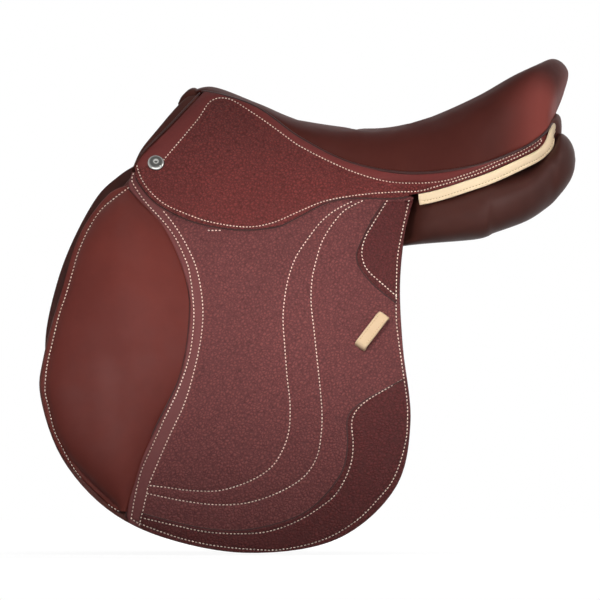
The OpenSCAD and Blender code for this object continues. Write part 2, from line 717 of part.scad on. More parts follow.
// Girth billets hang from webs under the rails
billet_places = [-42, 48];
web_w = 30;
web_out = -4.4;
web_in = -2.6;
billet_top = 56;
web_foot = 80;
module billet_webs_left() {
  color("#e0d8c0") for (x = billet_places)
    sweat_sheet([under_fold(x - web_w / 2, rail_drop + lay), under_fold(x + web_w / 2, rail_drop + lay),
      under_fold(x + web_w / 2, web_foot), under_fold(x - web_w / 2, web_foot)], web_out, web_in);
}

hole_pitch = 25;
module billet(x) {
  top = fold_height(x) - billet_top;
  foot = top - billet_len;
  half = billet_w / 2;
  outline = [[x - half, top], [x + half, top], [x + half, foot + half], [x + half / 2, foot + half / 4],
    [x, foot], [x - half / 2, foot + half / 4], [x - half, foot + half]];
  color("#4c2422") difference() {
    sweat_sheet(outline, web_out - lay - billet_t, web_out - lay);
    for (k = [1:billet_holes]) translate([x, 0, foot + hole_pitch * k]) rotate([90, 0, 0])
      cylinder(r = hole_r, h = prism_depth, $fn = round_fn);
  }
}

// Head arch of the tree with its two plates
arch_half = 73;
// Its top keeps under the seat foam behind the pommel
arch_room = 1.15;
arch_rise = mix(pommel_h, dip_h, 0.27) - foam_in - arch_room - arch_z;
arch_run = 34.2;
arch_from = -134;
arch_t = 10;
arch_lean = arch_run / arch_rise;
arch_n = 20;
function arch_row(x, more) = [for (a = steps(180, 0, arch_n))
  let (z = (arch_rise + more) * sin(a)) [x + arch_lean * z, (arch_half + more) * cos(a), arch_z + z]];
module arch(from, to, outer, inner) {
  sheet([arch_row(from, outer), arch_row(to, outer)], [arch_row(from, inner), arch_row(to, inner)]);
}

module tree_head() {
  color("#b58a5a") arch(arch_from, arch_from + head_w, 0, -arch_t);
}

module head_plate() {
  color("#8f9296") arch(arch_from + 5, arch_from + head_w - 5, lay + plate_t, lay);
}

module gullet_plate() {
  color("#8f9296") arch(arch_from + 5, arch_from + head_w - 5, -arch_t - lay, -arch_t - lay - plate_t);
}

// Height of a panel station that follows the cantle by a share
cantle_drawn = 195;
function cantle_lift(z, share) = z + share * (cantle_h - cantle_drawn);

// Panel: place along the saddle, distance out, height, half width, half thickness, tilt
panel_stations = [
  [-222, 104, -14, 40, 6, 60],
  [-200, 94, 0, 58, 13, 60],
  [-150, 80, 14, 60, 18, 58],
  [-85, 68, 20, 50, 21, 50],
  [-15, 62, 20, 42, 23, 40],
  [55, 62, 20, 44, 26, 30],
  [125, 72, 26, 46, 26, 20],
  [along(0.782), 90, cantle_lift(35.5, 0.5), 56, 31, 14],
  [along(0.917), 84, cantle_lift(49, 1), 51, 28, 10],
  [along(0.997), 75, cantle_lift(69, 1), 39, 31.6, 9],
  [along(1.024), 76, cantle_lift(83, 1), 36, 31.7, 8],
  [along(1.0457), 74, cantle_lift(85, 1), 28, 23, 8],
  [along(1.0615), 72, cantle_lift(86, 1), 14, 10, 8]];
panel_end = len(panel_stations) - 1;
panel_full = 0.8;
sweat_rear = 106;
panel_flare = 90;
panel_flare_len = 60;
function sgn_pow(f) = sign(f) * pow(abs(f), panel_full);
function panel_pt(t, a, inset) =
  let (s = spline(panel_stations, t),
       w = (s[3] - inset) * sgn_pow(cos(a)),
       h = (s[4] * panel_fill - inset) * sgn_pow(sin(a)),
       y = -s[1] + w * cos(s[5]) - h * sin(s[5]),
       z = s[2] + w * sin(s[5]) + h * cos(s[5]),
       flare = panel_flare * ease((s[0] - sweat_rear) / panel_flare_len),
       near = sweat_y(s[0], z, sweat_t + 2 * lay + inset) - flare)
  [s[0], max(y, near), z];
panel_sides = 20;
// Places of the panel's rings, with one where the sweat flap ends
rear_t = 5.72;
panel_ts = concat(steps(0, rear_t, 16), [for (k = [1:14]) mix(rear_t, panel_end, k / 14)]);
module panel_body(inset, ts) {
  loft([for (t = ts) [for (k = [0:panel_sides - 1]) panel_pt(t, 360 * k / panel_sides, inset)]]);
}

module panel_cover_left() {
  color("#33201c") difference() {
    panel_body(0, panel_ts);
    panel_body(panel_cover_t, inner(panel_ts));
  }
}

module panel_core_left() {
  color("#d8c9a0") panel_body(panel_cover_t + lay, inner(panel_ts));
}

// Strip that joins the panels over the gullet
module gullet_strip() {
  ts = steps(3.1, 8.6, 16);
  fs = steps(0, 1, 6);
  function row(t, up) = let (p = panel_pt(t, 40, -0.4))
    [for (f = fs) [p.x, mix(p.y, -p.y, f), p.z + 5 * sin(180 * f) + up]];
  color("#33201c") sheet([for (t = ts) row(t, 2)], [for (t = ts) row(t, 0)]);
}

tree_head();
tree_rail_left();
on_right() tree_rail_left();  // tree_rail_right
tree_cantle();
head_plate();
gullet_plate();
spring_left();
on_right() spring_left();  // spring_right
tree_rivets();
seat_web_long();
seat_web_cross();
seat_foam();
seat_cover();
skirt_top_left();
on_right() skirt_top_left();  // skirt_top_right
pommel_nail_left();
on_right() pommel_nail_left();  // pommel_nail_right
pommel_facing();
cantle_band();
rear_facing();
sweat_flap_left();
on_right() sweat_flap_left();  // sweat_flap_right
point_pocket_left();
on_right() point_pocket_left();  // point_pocket_right
billet_webs_left();
on_right() billet_webs_left();  // billet_webs_right
stirrup_bar_left();
on_right() stirrup_bar_left();  // stirrup_bar_right
catch_pin_left();
on_right() catch_pin_left();  // catch_pin_right
panel_cover_left();
on_right() panel_cover_left();  // panel_cover_right
panel_core_left();
on_right() panel_core_left();  // panel_core_right
gullet_strip();
flap_base_left();
on_right() flap_base_left();  // flap_base_right
flap_panel_left();
on_right() flap_panel_left();  // flap_panel_right
upper_patch_left();
on_right() upper_patch_left();  // upper_patch_right
lower_patch_left();
on_right() lower_patch_left();  // lower_patch_right
keeper_left();
on_right() keeper_left();  // keeper_right
knee_cover_left();
on_right() knee_cover_left();  // knee_cover_right
knee_foam_left();
on_right() knee_foam_left();  // knee_foam_right
skirt_lobe_left();
on_right() skirt_lobe_left();  // skirt_lobe_right
billet(billet_places[0]);  // billet_front_left
on_right() billet(billet_places[0]);  // billet_front_right
billet(billet_places[1]);  // billet_rear_left
on_right() billet(billet_places[1]);  // billet_rear_right
stirrup_catch_left();
on_right() stirrup_catch_left();  // stirrup_catch_right
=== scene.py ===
import math

import bmesh
import bpy
import numpy as np
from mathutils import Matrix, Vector, geometry
from mathutils.bvhtree import BVHTree


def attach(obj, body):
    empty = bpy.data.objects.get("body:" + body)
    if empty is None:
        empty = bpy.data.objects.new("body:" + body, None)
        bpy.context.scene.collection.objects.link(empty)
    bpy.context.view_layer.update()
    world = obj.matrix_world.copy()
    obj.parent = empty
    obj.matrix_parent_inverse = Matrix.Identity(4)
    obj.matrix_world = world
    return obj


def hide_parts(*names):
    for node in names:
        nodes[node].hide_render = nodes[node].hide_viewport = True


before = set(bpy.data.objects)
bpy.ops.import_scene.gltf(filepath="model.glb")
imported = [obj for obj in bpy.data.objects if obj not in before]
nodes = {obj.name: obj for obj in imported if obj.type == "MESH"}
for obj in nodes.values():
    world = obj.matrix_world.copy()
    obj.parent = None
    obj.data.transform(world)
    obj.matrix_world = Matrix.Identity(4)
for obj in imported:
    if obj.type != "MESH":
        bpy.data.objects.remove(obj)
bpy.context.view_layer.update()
scene = bpy.context.scene
MM = 0.001
FLIP = np.array([1, -1, 1])

# Curves and faces of the saddle, in millimetres: X to the cantle, the left side at -Y, Z up


def spline(points, t):
    """Smooth curve through the points; t counts them."""
    p = np.asarray(points, float)
    t = np.asarray(t, float)
    n = len(p) - 1
    i = np.clip(np.floor(t).astype(int), 0, n - 1)
    f = t - i
    if p.ndim > 1:
        f = f[..., None]
    a, b, c, d = p[np.maximum(i - 1, 0)], p[i], p[i + 1], p[np.minimum(i + 2, n)]
    return 0.5 * (2 * b + (c - a) * f + (2 * a - 5 * b + 4 * c - d) * f**2 + (3 * b - a - 3 * c + d) * f**3)


def curve(points, n):
    """Points of the spline, n to each span."""
    return spline(points, np.arange((len(points) - 1) * n + 1) / n)


def mix(a, b, f):
    return a + (b - a) * f


def ease(f):
    g = np.clip(f, 0, 1)
    return g * g * (3 - 2 * g)


def unit(v):
    return v / np.maximum(np.linalg.norm(v, axis=-1, keepdims=True), 1e-9)


def and_back(values):
    """Values of the left half up to the middle, then back again for the right."""
    return np.concatenate([values, values[-2::-1]])


def both_halves(left):
    """Points of the left half up to the middle, then their mirror image."""
    return np.concatenate([left, (left * FLIP)[-2::-1]])


def rounded(gap, radius):
    """How far a face drops at this gap from its rounded edge."""
    gap = np.minimum(gap, radius)
    return radius - np.sqrt(np.maximum(radius**2 - (radius - gap) ** 2, 0))


def sunk(gap, depth, half_width):
    """How deep a row of stitching pulls the leather in at this gap from it."""
    return depth * np.exp(-((gap / half_width) ** 2))


POMMEL_X, POMMEL_H, CANTLE_X, CANTLE_H = -101, 165, 271, 195
DIP_X, DIP_H, DISH = 64.9, 120, 9
center_line = np.array([
    [POMMEL_X - 20, POMMEL_H - 7], [POMMEL_X + 7, POMMEL_H],
    [mix(POMMEL_X, DIP_X, 0.34), mix(POMMEL_H, DIP_H, 0.4)],
    [mix(POMMEL_X, DIP_X, 0.62), mix(POMMEL_H, DIP_H, 0.81)],
    [DIP_X, DIP_H],
    [mix(DIP_X, CANTLE_X, 0.31), mix(DIP_H, CANTLE_H, 0.115) - 0.4 * DISH],
    [mix(DIP_X, CANTLE_X, 0.62), mix(DIP_H, CANTLE_H, 0.5) - DISH],
    [mix(DIP_X, CANTLE_X, 0.87), mix(DIP_H, CANTLE_H, 0.9) - 0.6 * DISH],
    [CANTLE_X + 1, CANTLE_H], [CANTLE_X + 17, CANTLE_H - 13],
    [CANTLE_X + 12.5, CANTLE_H - 37], [CANTLE_X + 3.2, CANTLE_H - 60.3]])
seam_line = np.array([
    [-117, -24, 152], [-103, -30, 160], [-48.2, -49, 144], [0.2, -68, 110], [54.9, -82, 83], [120, -106.4, 72],
    [185.1, -130, 79], [234.9, -122, 97], [258.35, -104.3, 112], [266.9, -93.7, 122], [272.1, -63.4, 131],
    [274, -23.8, 134.5]])
# At each point of the seam: how full the section is, and its share of the raised rim
fullness = [1, 1, 0.95, 0.9, 0.8, 0.68, 0.6, 0.6, 0.7, 0.9, 1, 1]
rim_share = [0, 0, 0, 0.05, 0.27, 0.7, 1, 0.7, 0, 0, 0, 0]
RIM_H = 1.8 * DISH
SEAM_END = len(seam_line) - 1
NUDGE = 0.02


def seam_inward(t):
    d = spline(seam_line, np.minimum(t + NUDGE, SEAM_END)) - spline(seam_line, np.maximum(t - NUDGE, 0))
    return unit(np.stack([-d[..., 1], d[..., 0], 0 * d[..., 0]], -1))


def seat_pt(t, v, inside=0.0):
    """Seat at t along the seam; v runs from the left seam (0) over the middle (1) to the right seam (2)."""
    q = np.where(v <= 1, v, 2 - v)
    side = np.where(v <= 1, 1, -1)
    d = unit(spline(center_line, np.minimum(t + NUDGE, SEAM_END)) - spline(center_line, np.maximum(t - NUDGE, 0)))
    c = spline(center_line, t) - inside * np.stack([-d[..., 1], d[..., 0]], -1)
    s = spline(seam_line, t) + inside * seam_inward(t)
    e = spline(fullness, t)
    w = np.maximum(np.cos(np.pi / 2 * q), 0) ** e
    r = np.sin(np.pi / 2 * q) ** e
    return np.stack([
        mix(s[..., 0], c[..., 0], 1 - w * w), side * s[..., 1] * w,
        mix(s[..., 2], c[..., 1], r) + spline(rim_share, t) * RIM_H * np.sin(np.pi * q) ** 2], -1)


FOLD_X, FOLD_Z, FOLD_HALF = -30, 62, 102
SLOPE, TILT, DRAPE = math.radians(5), math.radians(28), 1000
SWEAT_HALF, SWEAT_TILT = 70, math.radians(30.2)


def fold_height(x):
    return FOLD_Z - (x - FOLD_X) * math.tan(SLOPE)


def drape_y(x, z, half, tilt, depth):
    """Y of a face that hangs from the fold in one long curve, this deep under it."""
    up = (x - FOLD_X) * math.sin(SLOPE) + (z - FOLD_Z) * math.cos(SLOPE) + DRAPE * math.sin(tilt)
    return DRAPE * math.cos(tilt) - half - np.sqrt((DRAPE - depth) ** 2 - up * up)


def flap_y(x, z, depth):
    return drape_y(x, z, FOLD_HALF, TILT, depth)


def sweat_y(x, z, depth):
    return drape_y(x, z, SWEAT_HALF, SWEAT_TILT, depth)


def draped(plan, depth, face_y=flap_y):
    """Points of the side view, X and Z, laid on a draped face."""
    x, z = plan[..., 0], plan[..., 1]
    return np.stack([x, face_y(x, z, depth), z], -1)


fold_places = [-177, -95, -20, 48, 118]
tail_widths = [23, 13, 9.5, 10.5, 1.2, 0.8, 0.8]


def tail_w(t):
    return spline(tail_widths, np.maximum(0, t - 5))


def skirt_pt(t, v):
    """Upper skirt at t along the seam; v runs from its foot (0) to the seam (1)."""
    x = spline(fold_places, np.minimum(t, 5) - 1)
    s = spline(seam_line, t)
    free = ease((t - 4.6) / 0.9)[..., None]
    foot = np.stack([x, 0 * x - FOLD_HALF, fold_height(x)], -1)
    tail = s - np.stack([0 * t, 0 * t + 1.5, tail_w(t)], -1)
    b = mix(foot, tail, free)
    rise = 0.42 * np.linalg.norm(s - b, axis=-1)
    share = rise * math.cos(TILT) / np.maximum(1, s[..., 2] - b[..., 2])
    drawn = np.stack([
        mix(b[..., 0], s[..., 0], np.minimum(1, share)) - 3 * ease(2 - t),
        b[..., 1] + rise * math.sin(TILT), b[..., 2] + rise * math.cos(TILT)], -1)
    mid = mix(drawn, (b + s) / 2 - np.array([0, 1, 0]), free)
    corner = 75 * ease(2 - t) * v * (1 - v) ** 5
    v = v[..., None]
    return (1 - v) ** 2 * b + 2 * v * (1 - v) * mid + v * v * s - np.stack([corner, 0 * t, 0 * t], -1)


def band_top(t):
    drop = np.stack([0 * t, 0 * t, tail_w(t) + 0.3], -1)
    return spline(seam_line, t) - 2.2 * seam_inward(t) - drop


def band_up(t):
    return unit(np.cross(band_top(np.minimum(t + NUDGE, SEAM_END)) - band_top(t - NUDGE), seam_inward(t)))


def band_mid(t):
    return band_top(t) - 6 * band_up(t)


# Along each panel: X, middle across and up, half width, half height, lean in degrees
panel_stations = np.array([
    [-222, 104, -14, 40, 6, 60], [-200, 94, 0, 58, 13, 60], [-150, 80, 14, 60, 18, 58], [-85, 68, 20, 50, 21, 50],
    [-15, 62, 20, 42, 23, 40], [55, 62, 20, 44, 26, 30], [125, 72, 26, 46, 26, 20], [190, 90, 35.5, 56, 31, 14],
    [208, 89.2, 40.6, 55, 30.4, 12.6], [226, 87, 45.2, 53, 29.4, 11.2], [240.1, 84, 49.4, 51, 28.6, 10],
    [250.6, 81, 54.6, 47.5, 28.6, 9.6], [260.8, 78, 62.2, 43.5, 29.5, 9.3], [270.2, 75, 71.3, 39, 31.6, 9],
    [278.4, 75.8, 81.2, 36.5, 32.6, 8.2], [285.3, 75, 84.2, 31.5, 27, 8], [290.8, 74, 85.2, 24.5, 19, 8],
    [294, 73, 85.8, 16, 10.4, 8], [295, 72, 86, 8, 3, 8]])


def panel_pt(t, a, inset=0.0):
    """Panel at station t and angle a, kept clear of the sweat flap."""
    s = spline(panel_stations, t)
    full = lambda f: np.sign(f) * np.abs(f) ** 0.8
    w = (s[..., 3] - inset) * full(np.cos(a))
    h = (s[..., 4] - inset) * full(np.sin(a))
    lean = np.radians(s[..., 5])
    y = -s[..., 1] + w * np.cos(lean) - h * np.sin(lean)
    z = s[..., 2] + w * np.sin(lean) + h * np.cos(lean)
    near = sweat_y(s[..., 0], z, 3.6 + inset) - 90 * ease((s[..., 0] - 106) / 60)
    return np.stack([s[..., 0], np.maximum(y, near), z], -1)


def flap_xz(points):
    return np.asarray(points, float) + [FOLD_X, FOLD_Z]


rim = flap_xz([
    [-152, 4], [-171, -19], [-203, -60], [-227, -124], [-244, -187], [-247, -230], [-224, -295], [-176, -349],
    [-111, -381], [-23, -396], [69, -381.5], [131, -328], [148, -257], [140, -177], [137, -112], [142, -57],
    [152, -17]])
s_edge = flap_xz([
    [-152, 4], [-151, -10], [-115, -51], [-93, -102], [-88, -142], [-98, -207], [-127, -269], [-149, -318],
    [-155, -357]])
upper_cut = flap_xz([[121, -21], [108, -40], [95, -66], [91, -79], [95, -93], [110, -111], [133, -129]])
lower_cut = flap_xz([
    [142, -211], [117, -224], [92, -239], [81, -254], [81, -284], [75, -310], [56, -336], [34, -354], [2, -366],
    [-31, -372], [-64, -371], [-97, -365], [-139, -354]])
sweat_front = flap_xz([
    [-149, 17], [-164, 7], [-187, -15], [-212, -60], [-230, -108], [-242, -166], [-237, -215], [-212, -283],
    [-166, -334], [-100, -366], [-20, -379], [60, -366], [116, -318], [135, -257], [127, -177], [124, -112], [128, -57],
    [134, -24]])
lobe_edge = np.array([
    [-177, 3.5], [-172, 14], [-160, 28], [-145, 38], [-116, 49], [-83, 53.5], [-56, 53], [-25, 47], [-5, 36.5],
    [20, 21], [41, 12], [62, 8.5], [84, 7], [100, 5]])
RIM_FOOT, RIM_UPPER, RIM_LOWER = 7.4, 14.22, 12.58


def rim_part(a, b, n=6):
    return spline(rim, np.linspace(a, b, int(math.ceil((b - a) * n)) + 1))


def under_fold(x, drop):
    return [x, fold_height(x) - drop]


# Rows of stitching as seen square on the left side, X and Z
skirt_upper_row = [
    [-146, 86], [-132.7, 101.7], [-120.9, 115.6], [-108.1, 131.6], [-98.4, 146.6], [-89.9, 151.9], [-81.3, 152.4],
    [-71.7, 149.8], [-54.6, 139.1], [-34.2, 125.2], [-13.9, 110.2], [0, 100.6], [31, 84.5], [61, 71.7], [92, 63.1],
    [123.1, 61], [153, 63.1], [174.4, 69.2], [191.2, 75.2], [211.6, 84.4], [232.2, 93], [248.6, 102],
    [257.4, 108.2]]
skirt_lower_row = [
    [-171.2, 88.8], [-174.5, 82.4], [-173.4, 74.9], [-169.1, 64.2], [-160.6, 52], [-145, 38.5], [-124.1, 28.8],
    [-96.3, 19.3], [-58.9, 13.9], [-30, 18.2], [0, 31], [20.3, 39.6], [40.7, 44.9], [71.7, 49.2], [102.7, 51.4],
    [127.3, 52.4], [147.7, 57.8], [170.1, 64.4], [191.2, 71.4], [211.6, 80.2], [232.2, 88.9], [248.6, 97.4],
    [256.4, 103], [258.3, 106.2]]
s_row = [
    [-178.7, 70.6], [-180, 64.2], [-176.6, 56.7], [-164.9, 40], [-147.7, 21.4], [-133.8, 3.2], [-123.1, -19.3],
    [-117.8, -36.4], [-113.5, -76], [-115.6, -109.1], [-121, -134.8], [-131.7, -163.7], [-144.5, -190.5],
    [-158.4, -221.5], [-169.1, -246.1], [-175.6, -271.8], [-180, -297]]
s_row_two = [
    [-145.5, 30], [-131.6, 11.8], [-118.8, -10.7], [-110.2, -32.1], [-104.9, -59.9], [-103.8, -84.5], [-107, -112.4],
    [-114.5, -145.5], [-124.1, -176.6], [-139.1, -208.7], [-149.8, -233.3], [-161.6, -262.2], [-163.7, -271.8],
    [-169.1, -295.3], [-171.2, -303.9]]
block_row = [
    [-184, 55.6], [-198, 44.9], [-210.8, 34.2], [-220.4, 21.4], [-229, 5.4], [-237.5, -15], [-242.9, -34.2],
    [-250.4, -59.9], [-257.9, -82.4], [-264.3, -109.1], [-269.6, -131.6], [-271.8, -149.8], [-271.8, -163.7],
    [-267.5, -181.9], [-262.2, -203.3], [-251.5, -225.8], [-239.7, -246.1], [-224.7, -264.3], [-210.8, -277.1],
    [-201.2, -284.6], [-187.2, -293.2]]
inner_row = [
    [54.6, 40.7], [36.4, 31], [21.4, 18.2], [7.5, 0], [-4.3, -18.2], [-11.8, -38.5], [-16.1, -59.9], [-18.2, -84.5],
    [-16.1, -116.6], [-13.9, -145.5], [-10.7, -174.4], [-11.8, -203.3], [-19.3, -225.8], [-32.1, -244],
    [-54.6, -257.9], [-85.6, -267.5], [-116.6, -267.5], [-141.2, -264.3], [-159.4, -262.2]]
outer_row = [
    [66.3, 41.7], [48.2, 32.1], [34.2, 16.1], [23.5, -2.1], [17.1, -22.5], [12.8, -42.8], [11.8, -67.4],
    [15, -96.3], [18.2, -127.3], [21.4, -157.3], [23.5, -186.2], [22.5, -208.7], [18.2, -231.1], [7.5, -249.3],
    [-8.6, -262.2], [-33.2, -273.9], [-61, -281.4], [-92, -282.5], [-126.3, -278.2], [-162.6, -270.7]]
lower_patch_row = [
    [108.1, -149.8], [89.9, -160.5], [70.6, -172.3], [58.9, -184], [55.1, -196.9], [56.7, -218.3], [53.5, -241.8],
    [39.6, -269.6], [19.3, -286.8], [-6.4, -301.7], [-35.3, -311.4], [-67.4, -313.5], [-100.6, -311.4],
    [-131.6, -305], [-169.1, -296.4]]
upper_patch_row = [
    [93.1, 41.7], [81.3, 22.5], [70.6, 4.3], [66.3, -10.7], [67.4, -22.5], [72.8, -33.2], [85.6, -44.9],
    [102.7, -59.9]]
rear_row = [
    [116.6, 41.7], [111.3, 18.2], [107, -2.1], [103.8, -24.6], [102.7, -71.7], [103.8, -96.3], [108.1, -127.3],
    [111.3, -149.8], [114.5, -174.4], [114.6, -199], [112.4, -217.2], [105.4, -241.8], [96.9, -260], [85.6, -274],
    [61, -299], [25.7, -319.5], [-17.1, -330], [-50.3, -330.3], [-92, -326], [-130.5, -317.4], [-170.1, -303],
    [-180, -297]]
tack_row = [[-97.5, 10.2], [-86, 10.2]]


# Distances and outlines in the side view

def resample(points, step, closed=False):
    p = np.asarray(points, float)
    if closed:
        p = np.vstack([p, p[:1]])
    run = np.concatenate([[0], np.cumsum(np.linalg.norm(np.diff(p, axis=0), axis=1))])
    n = max(2, int(round(run[-1] / step)))
    at = np.linspace(0, run[-1], n + 1)
    if closed:
        at = at[:-1]
    return np.stack([np.interp(at, run, p[:, k]) for k in range(p.shape[1])], 1)


def row(points, step=2.0):
    return resample(curve(points, 12), step)


def distance(points, line, closed=False):
    q = np.asarray(line, float)
    if closed:
        q = np.vstack([q, q[:1]])
    a, d = q[:-1], np.diff(q, axis=0)
    size = np.maximum((d**2).sum(1), 1e-12)
    best = np.full(len(points), 1e9)
    for start in range(0, len(points), 4000):
        p = points[start:start + 4000, None, :]
        f = np.clip(((p - a) * d).sum(2) / size, 0, 1)
        best[start:start + 4000] = np.sqrt((((a + f[..., None] * d) - p) ** 2).sum(2)).min(1)
    return best


def nearest(points, lines):
    return np.min([distance(points, line) for line in lines], axis=0)


def inside(points, polygon):
    x, z = points[:, 0], points[:, 1]
    hit = np.zeros(len(points), bool)
    a = np.asarray(polygon, float)
    for p, q in zip(a, np.roll(a, -1, axis=0)):
        cross = (p[1] > z) != (q[1] > z)
        at = (q[0] - p[0]) * (z - p[1]) / (q[1] - p[1] + 1e-12) + p[0]
        hit ^= cross & (x < at)
    return hit


# Meshes

def add_piece(name, verts, faces, material, soft_angle=42, extra=None):
    """New object, with its points in millimetres; extra is a second material and the faces that have it."""
    mesh = bpy.data.meshes.new(name)
    mesh.from_pydata((np.asarray(verts) * MM).tolist(), [], [list(map(int, f)) for f in faces])
    mesh.materials.append(material)
    if extra:
        mesh.materials.append(extra[0])
        for k in extra[1]:
            mesh.polygons[k].material_index = 1
    b = bmesh.new()
    b.from_mesh(mesh)
    bmesh.ops.recalc_face_normals(b, faces=b.faces)
    b.to_mesh(mesh)
    b.free()
    mesh.shade_smooth()
    mesh.set_sharp_from_angle(angle=math.radians(soft_angle))
    ob = bpy.data.objects.new(name, mesh)
    scene.collection.objects.link(ob)
    return ob


def paint(ob, name, values):
    a = ob.data.attributes.new(name, "FLOAT", "POINT")
    a.data.foreach_set("value", np.asarray(values, np.float32))


def mirrored(ob, name):
    mesh = ob.data.copy()
    mesh.name = name
    co = np.zeros(len(mesh.vertices) * 3, np.float32)
    mesh.vertices.foreach_get("co", co)
    co = co.reshape(-1, 3)
    co[:, 1] *= -1
    mesh.vertices.foreach_set("co", co.ravel())
    mesh.flip_normals()
    mesh.update()
    other = bpy.data.objects.new(name, mesh)
    scene.collection.objects.link(other)
    return other


def settle(ob, body, slot, *stands_for):
    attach(ob, body)
    if stands_for:
        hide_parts(*stands_for)
    return ob


def settle_both(ob, body, slot, *stands_for, fill=None):
    """Left piece and its mirror image; {} in a body or node name stands for the side."""
    stem = ob.name
    ob.name = stem + "_left"
    ob.data.name = stem + "_left"
    pair = {"left": ob, "right": mirrored(ob, stem + "_right")}
    for side, piece in pair.items():
        settle(piece, body.format(side), slot, *[n.format(side) for n in stands_for])
    return pair


CLOTH_FRAMES = 20


def inflate(ob, held, pressure, cap):
    """Fills a sewn cover: a cloth run under pressure, held where it is sewn; no point moves more than cap (mm)."""
    group = ob.vertex_groups.new(name="sewn")
    for k, w in enumerate(held):
        if w > 0.001:
            group.add([k], float(min(w, 1)), "REPLACE")
    n = len(ob.data.vertices)
    start = np.zeros(n * 3)
    ob.data.vertices.foreach_get("co", start)
    m = ob.modifiers.new("fill", "CLOTH")
    m.settings.quality = 4
    m.settings.use_pressure = True
    m.settings.uniform_pressure_force = pressure
    m.settings.effector_weights.gravity = 0
    m.settings.vertex_group_mass = "sewn"
    m.collision_settings.use_collision = False
    m.point_cache.frame_end = CLOTH_FRAMES
    for f in range(1, CLOTH_FRAMES + 1):
        scene.frame_set(f)
    moved = np.zeros(n * 3)
    done = ob.evaluated_get(bpy.context.evaluated_depsgraph_get())
    done.data.vertices.foreach_get("co", moved)
    d = (moved - start).reshape(-1, 3)
    far = np.linalg.norm(d, axis=1, keepdims=True) + 1e-9
    d *= np.tanh(far / (cap * MM)) * cap * MM / far
    d *= 1 - np.clip(np.asarray(held), 0, 1)[:, None]
    ob.modifiers.remove(m)
    ob.vertex_groups.remove(group)
    ob.data.vertices.foreach_set("co", start + d.ravel())
    ob.data.update()
    scene.frame_set(1)


def shell(outer, inner):
    """Closed skin between two grids of points."""
    rows, cols = outer.shape[:2]
    n = rows * cols
    verts = np.vstack([outer.reshape(-1, 3), inner.reshape(-1, 3)])
    at = lambda i, j: i * cols + j
    faces = []
    for i in range(rows - 1):
        for j in range(cols - 1):
            q = [at(i, j), at(i, j + 1), at(i + 1, j + 1), at(i + 1, j)]
            faces.append(q)
            faces.append([n + k for k in reversed(q)])
    ring = [at(0, j) for j in range(cols)] + [at(i, cols - 1) for i in range(1, rows)]
    ring += [at(rows - 1, j) for j in range(cols - 2, -1, -1)] + [at(i, 0) for i in range(rows - 2, 0, -1)]
    walls = len(faces)
    for a, b in zip(ring, ring[1:] + ring[:1]):
        faces.append([a, b, n + b, n + a])
    return verts, faces, range(walls, len(faces))


def loft(rings, dome=0.0):
    """Closed body through rings of points, with ends that bulge by dome."""
    rings = np.asarray(rings, float)
    count, m = rings.shape[:2]
    verts = list(rings.reshape(-1, 3))
    faces = []
    for k in range(count - 1):
        for j in range(m):
            i = (j + 1) % m
            faces.append([k * m + j, k * m + i, (k + 1) * m + i, (k + 1) * m + j])
    for k, step in ((0, -1), (count - 1, 1)):
        middle = rings[k].mean(0)
        along = unit(middle - rings[k - step].mean(0))
        inner = middle + 0.55 * (rings[k] - middle) + 0.75 * dome * along
        base = len(verts)
        verts.extend(inner)
        verts.append(middle + dome * along)
        for j in range(m):
            i = (j + 1) % m
            faces.append([k * m + j, k * m + i, base + i, base + j])
            faces.append([base + j, base + i, base + m])
    return np.array(verts), faces


def grid_normals(g, outward):
    du = np.gradient(g, axis=0)
    dv = np.gradient(g, axis=1)
    n = unit(np.cross(du, dv))
    return n * np.where((n * outward).sum(-1, keepdims=True) < 0, -1, 1)


def tube(path, radius, sides=10):
    path = np.asarray(path, float)
    d = unit(np.gradient(path, axis=0))
    up = unit(np.cross(d, np.cross(np.array([0, 0, 1.0]), d)))
    side = np.cross(d, up)
    a = np.linspace(0, 2 * np.pi, sides, endpoint=False)
    r = np.broadcast_to(np.asarray(radius, float), (len(path),))
    rings = path[:, None] + r[:, None, None] * (
        np.cos(a)[None, :, None] * up[:, None] + np.sin(a)[None, :, None] * side[:, None])
    return loft(rings, float(r[0]) * 0.5)


def spaced(points, gap, taken):
    """Points that keep a gap to each other and to those taken before."""
    kept = []
    for p in points:
        cell = (int(p[0] // gap), int(p[1] // gap))
        near = (taken.get((cell[0] + i, cell[1] + j)) for i in (-1, 0, 1) for j in (-1, 0, 1))
        if any(q is not None and (q[0] - p[0]) ** 2 + (q[1] - p[1]) ** 2 < gap * gap for q in near):
            continue
        taken[cell] = p
        kept.append(p)
    return kept


RING_STEP, ROW_SINK, ROW_HALF = 2.4, 0.55, 1.1


